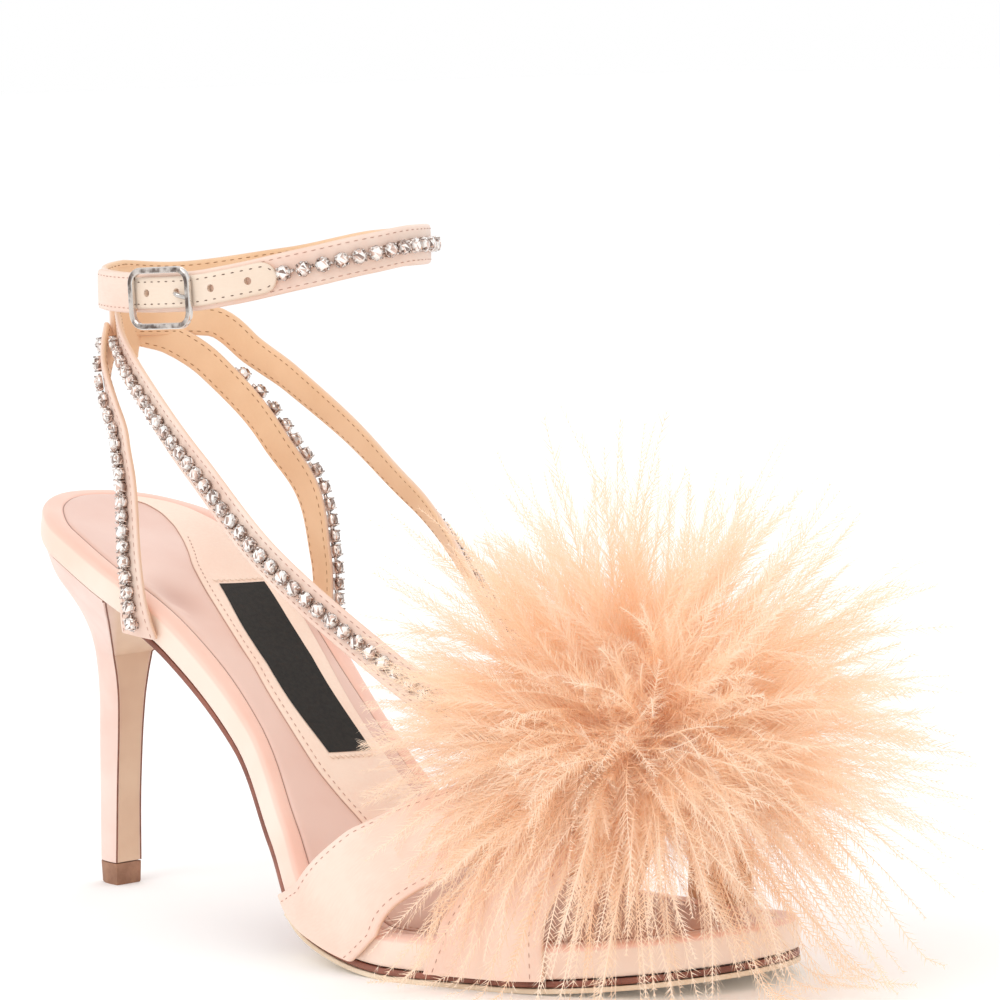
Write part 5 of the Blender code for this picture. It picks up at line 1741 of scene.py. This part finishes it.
# %% Prong
prong_bar = frame_centre + frame_along * (half_long - BUCKLE_WIRE / 2.0 - GAP)
prong_layer = STRAP_THICKNESS / 2.0 + GAP + TAB_THICKNESS + GAP + PRONG_RADIUS
hole_turn = turn_beyond(BUCKLE_TURN, PRONG_HOLE * HOLE_PITCH)
prong_tip = ankle_station(hole_turn, prong_layer)[0]
prong_line = [prong_bar.lerp(prong_tip, t / 16.0) for t in range(17)]
prong_line = [
    spot + frame_out * 0.7 * MM * math.sin(math.pi * t / 16.0) for t, spot in enumerate(prong_line)
]


def prong_place(u, v):
    index = round(v * 16)
    radius = PRONG_RADIUS * (1.0 - 0.25 * ease(v, 0.6, 1.0)) * math.sqrt(max(1.0 - v ** 12, 0.0004))
    turn = 2.0 * math.pi * u
    along = (prong_line[min(index + 1, 16)] - prong_line[max(index - 1, 0)]).normalized()
    side = frame_up.cross(along).normalized()
    return prong_line[index] + (frame_up * math.cos(turn) + side * math.sin(turn)) * radius


# The prong gets a middling share of painted dark reflection.
finish_piece(
    lay_grid(12, 16, prong_place, ("dark",), lambda u, v: (0.4,), (0.004, 0.008)),
    "buckle_tongue", [polished_steel], ["buckle_prong"], 40.0, True,
)

# %% [markdown]
# ## The feather pompom
# The pompom is a bunch of ostrich plumes tied at one spot. Each plume is a fine curved
# shaft with soft barbs on both sides, denser and more orange near the tie and pale at the
# tips. Plumes gather in tufts that spread and close again like flames, droop under their
# weight and lie on the vamp where they meet it. They are grown as arrays: lines first,
# then barbs on the lines.

# %% Feather finish
plume_paint = Paint("peach_feather")
reach_mask = plume_paint.mask("reach")
plume_tone = plume_paint.mask("hue")
plume_shade = plume_paint.mixed(
    plume_paint.band(reach_mask, 0.04, 0.40), tint(234, 132, 72), tint(254, 227, 196)
)
plume_shade = plume_paint.mixed(
    plume_paint.band(reach_mask, 0.25, 0.85), plume_shade, tint(255, 246, 231)
)
plume_shade = plume_paint.mixed(
    plume_paint.band(plume_tone, 0.55, 1.0) * 0.7, plume_shade, tint(255, 246, 232)
)
plume_shade = plume_paint.mixed(
    plume_paint.band(1.0 - plume_tone, 0.6, 1.0) * 0.6, plume_shade, tint(251, 206, 164)
)
# A faint emission in each plume's own colour paints a glow into the feathers.
plume_paint.finish(plume_shade, 0.75, Sheen_Weight=0.3, Emission_Strength=0.06)
plume_paint.tree.links.new(plume_shade.socket, plume_paint.surface.inputs["Emission Color"])
glow = plume_paint.tree.nodes.new("ShaderNodeBsdfTranslucent")
blend = plume_paint.tree.nodes.new("ShaderNodeMixShader")
blend.inputs["Fac"].default_value = 0.42
glow.inputs["Color"].default_value = tint(253, 216, 180)
plume_paint.tree.links.new(plume_paint.surface.outputs[0], blend.inputs[1])
plume_paint.tree.links.new(glow.outputs[0], blend.inputs[2])
plume_paint.tree.links.new(
    blend.outputs[0], plume_paint.tree.nodes["Material Output"].inputs["Surface"]
)
peach_feather = plume_paint.material

# %% Ground for the plumes
POMPOM_CORE_RADIUS = 0.0110
tie = last_point(0.885, 0.0, STRAP_CLEARANCE + GAP + STRAP_THICKNESS * (1.0 + FRONT_VAMP_LIFT))
tie = tie + Vector((0.0, 0.0, POMPOM_CORE_RADIUS * 0.75))
print("pompom tie at", [round(x, 4) for x in tie])
CELL = 0.001
GROUND_FROM = (0.080, -0.060)
ground = np.zeros((190, 150))
for name in ("footbed_cover", "rear_vamp_strap", "front_vamp_strap"):
    data = bpy.data.objects[name].data
    spots = np.empty(len(data.vertices) * 3)
    data.vertices.foreach_get("co", spots)
    spots = spots.reshape(-1, 3)
    rows = np.round((spots[:, 0] - GROUND_FROM[0]) / CELL).astype(int)
    columns = np.round((spots[:, 1] - GROUND_FROM[1]) / CELL).astype(int)
    keep = (rows >= 0) & (rows < 190) & (columns >= 0) & (columns < 150)
    np.maximum.at(ground, (rows[keep], columns[keep]), spots[keep, 2])
for _ in range(2):
    grown = ground.copy()
    for shift in ((1, 0), (-1, 0), (0, 1), (0, -1)):
        grown = np.maximum(grown, np.roll(ground, shift, (0, 1)))
    ground = np.where(ground > 0.0, ground, grown)


def ground_under(spots):
    """Height of the sandal under spots, 0 beside it."""
    rows = np.clip(np.round((spots[..., 0] - GROUND_FROM[0]) / CELL).astype(int), 0, 189)
    columns = np.clip(np.round((spots[..., 1] - GROUND_FROM[1]) / CELL).astype(int), 0, 149)
    return ground[rows, columns]


# %% Lines of the plumes
PLUME_STEPS = 16
PLUME_ROOM = ((0.1080, -0.0560, 0.0006), (0.2495, 0.0820, 0.165))
VIEW_RIGHT = (0.65, 0.76)
VIEW_ROOM = (0.059, 0.196)
share_along = np.linspace(0.0, 1.0, PLUME_STEPS + 1)


def unit(ways):
    return ways / np.maximum(np.linalg.norm(ways, axis=-1, keepdims=True), 1e-9)


def plume_lines(dice, ways, lengths, tuft, droop, spread, curl):
    """Lines of many plumes, in tufts that open and close again, settled on the sandal."""
    count = len(ways)
    tufts = count // tuft
    centre_way = np.repeat(ways[:tufts], tuft, axis=0)
    count = len(centre_way)
    centre_length = np.repeat(lengths[:tufts], tuft)
    own = centre_length * (0.84 + 0.20 * dice.random(count))
    t = share_along[None, :, None]
    start = np.array(tie) + unit(dice.normal(size=(count, 3))) * 0.0035
    lines = start[:, None] + centre_way[:, None] * own[:, None, None] * t
    side = unit(np.cross(centre_way, dice.normal(size=(count, 3))))
    other = np.cross(centre_way, side)
    open_up = np.sin(np.pi * share_along ** 0.80 * 0.96)[None, :, None]
    turn = dice.random((count, 1, 1)) * 2.0 * np.pi
    radius = spread * dice.random((count, 1, 1)) ** 0.5
    lines += (side[:, None] * np.cos(turn) + other[:, None] * np.sin(turn)) * radius * open_up
    bend = dice.normal(size=(count, 1, 1)) * curl * own[:, None, None]
    lines += other[:, None] * bend * t ** 2
    flat = np.hypot(centre_way[:, 0], centre_way[:, 1])
    weight = droop * (0.6 + 0.8 * dice.random(count)) * own * flat
    lines[:, :, 2] -= weight[:, None] * share_along[None, :] ** 2
    low, high = np.array(PLUME_ROOM)
    over = np.maximum((lines - high) / 0.01, (low - lines) / 0.01)[:, :, :2].max(axis=(1, 2))
    across_view = lines[:, :, :2] @ np.array(VIEW_RIGHT)
    past = np.maximum((VIEW_ROOM[0] - across_view) / 0.01, (across_view - VIEW_ROOM[1]) / 0.01)
    over = np.maximum(over, past.max(axis=1))
    shrink = np.where(over > 0.0, 1.0 / (1.0 + over * 0.18), 1.0)
    lines = np.array(tie) + (lines - np.array(tie)) * shrink[:, None, None]
    lines = np.clip(lines, low + 0.002, high - 0.002)
    floor_height = ground_under(lines) + 0.0012
    lines[:, :, 2] = np.maximum(lines[:, :, 2], floor_height)
    lines[:, 1:-1, 2] = (lines[:, :-2, 2] + 2.0 * lines[:, 1:-1, 2] + lines[:, 2:, 2]) / 4.0
    lines[:, :, 2] = np.maximum(lines[:, :, 2], floor_height)
    return lines


def spread_ways(dice, count, lowest, highest, heading=None, fan=180.0):
    """Directions between two heights, all round or in a fan about a heading."""
    height = lowest + (highest - lowest) * dice.random(count)
    if heading is None:
        turn = dice.random(count) * 2.0 * np.pi
    else:
        turn = np.radians(heading + (dice.random(count) * 2.0 - 1.0) * fan)
    flat = np.sqrt(1.0 - height ** 2)
    return np.stack([flat * np.cos(turn), flat * np.sin(turn), height], axis=-1)


# %% Barbs on the lines
def plume_mesh(dice, name, lines, tuft, pitch, barb, lean, width, shaft, first=0.10):
    """Shafts and barbs of many plumes as one mesh."""
    count = len(lines)
    lengths = np.linalg.norm(np.diff(lines, axis=1), axis=2).sum(axis=1)
    pairs = int(np.median(lengths) / pitch)
    t = first + (1.0 - first) * (np.arange(pairs) + 0.5) / pairs
    place = t * PLUME_STEPS
    index = np.minimum(place.astype(int), PLUME_STEPS - 1)
    part = (place - index)[None, :, None]
    root = lines[:, index] * (1.0 - part) + lines[:, index + 1] * part
    along = unit(lines[:, index + 1] - lines[:, index])
    plane = unit(dice.normal(size=(count, 1, 3)))
    side = unit(np.cross(along, plane))
    up_way = np.cross(side, along)
    hue = 0.75 * np.repeat(dice.random(count // tuft), tuft) + 0.25 * dice.random(count)
    swell = (np.sin(np.pi * np.clip(t * 0.92 + 0.06, 0, 1)) ** 0.6)[None, :, None]
    points, reaches, hues = [], [], []
    for way in (-1.0, 1.0):
        jitter = dice.normal(size=(count, pairs, 3)) * 0.11
        angle = lean * (0.8 + 0.4 * dice.random((count, pairs, 1)))
        aim = along * np.cos(angle) + side * way * np.sin(angle) + jitter
        size = barb * swell * (0.55 + 0.75 * dice.random((count, pairs, 1)))
        tip = root + unit(aim + up_way * 0.15) * size
        half = along * width / 2.0
        corners = np.stack([root - half, root + half, tip], axis=2)
        points.append(corners.reshape(-1, 3))
        fade = np.broadcast_to(t[None, :, None], (count, pairs, 3)) + np.array([0.0, 0.0, 0.10])
        reaches.append(fade.reshape(-1))
        hues.append(np.repeat(hue, pairs * 3))
    spots = np.concatenate(points)
    faces = np.arange(len(spots)).reshape(-1, 3)
    across = unit(np.cross(np.gradient(lines, axis=1), plane))
    taper = (shaft * (1.0 - 0.75 * share_along))[None, :, None]
    rails = np.stack([lines - across * taper / 2.0, lines + across * taper / 2.0], axis=2)
    first_rail = len(spots)
    base = first_rail + (np.arange(count)[:, None] * (PLUME_STEPS + 1) + np.arange(PLUME_STEPS)) * 2
    strips = np.stack([base, base + 1, base + 3, base, base + 3, base + 2], axis=-1).reshape(-1, 3)
    spots = np.concatenate([spots, rails.reshape(-1, 3)])
    spots[:, 2] = np.maximum(spots[:, 2], 0.0004)
    low, high = np.array(PLUME_ROOM)
    spots = np.clip(spots, low, high)
    faces = np.concatenate([faces, strips])
    rail_reach = np.broadcast_to(share_along[None, :, None], (count, PLUME_STEPS + 1, 2))
    reaches.append(rail_reach.reshape(-1))
    hues.append(np.repeat(np.clip(hue + 0.35, 0.0, 1.0), (PLUME_STEPS + 1) * 2))
    data = mesh_from_arrays(
        name, spots, faces, {"reach": np.concatenate(reaches), "hue": np.concatenate(hues)}
    )
    data.materials.append(peach_feather)
    made = bpy.data.objects.new(name, data)
    bpy.context.scene.collection.objects.link(made)
    return hand_over(made, ["pompom"])


# %% Growing the pompom
def plume_group(
    name, seed, tufts, tuft, heights, lengths, droop, spread, curl, barbs, heading=None, fan=180.0
):
    """One group of tufts, grown and meshed."""
    dice = np.random.default_rng(seed)
    ways = spread_ways(dice, tufts * tuft, *heights, heading, fan)
    reach = lengths[0] + (lengths[1] - lengths[0]) * dice.random(tufts * tuft)
    lines = plume_lines(dice, ways, reach, tuft, droop, spread, curl)
    return plume_mesh(dice, name, lines, tuft, *barbs)


down = (0.00105, 0.0095, 0.36, 0.00042, 0.00036)
plume_group("crown_plumes", 3, 66, 7, (0.30, 1.0), (0.036, 0.078), 0.12, 0.0075, 0.14, down)
plume_group("side_plumes", 5, 66, 7, (0.0, 0.50), (0.036, 0.078), 0.22, 0.0075, 0.14, down)
plume_group("low_plumes", 7, 54, 7, (-0.20, 0.25), (0.030, 0.054), 0.40, 0.0065, 0.16, down)
plume_group("heart_down", 9, 90, 10, (-0.1, 1.0), (0.018, 0.040), 0.20, 0.0060, 0.2,
            (0.0007, 0.0036, 0.9, 0.00018, 0.0002))
wisp = (0.0011, 0.0058, 0.48, 0.00030, 0.00042)
plume_group("long_wisps", 11, 60, 4, (-0.05, 1.0), (0.070, 0.088), 0.22, 0.0045, 0.16, wisp)
quill = (0.0010, 0.0050, 0.60, 0.00036, 0.00060)
plume_group(
    "front_plumes", 13, 80, 3, (-0.45, 0.15), (0.042, 0.068), 0.60, 0.0060, 0.14, quill, -45.0, 85.0
)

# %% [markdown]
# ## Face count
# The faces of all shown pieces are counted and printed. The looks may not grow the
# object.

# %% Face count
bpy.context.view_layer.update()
total = sum(len(o.data.polygons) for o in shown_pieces() if o.type == "MESH")
print("faces in all", total)
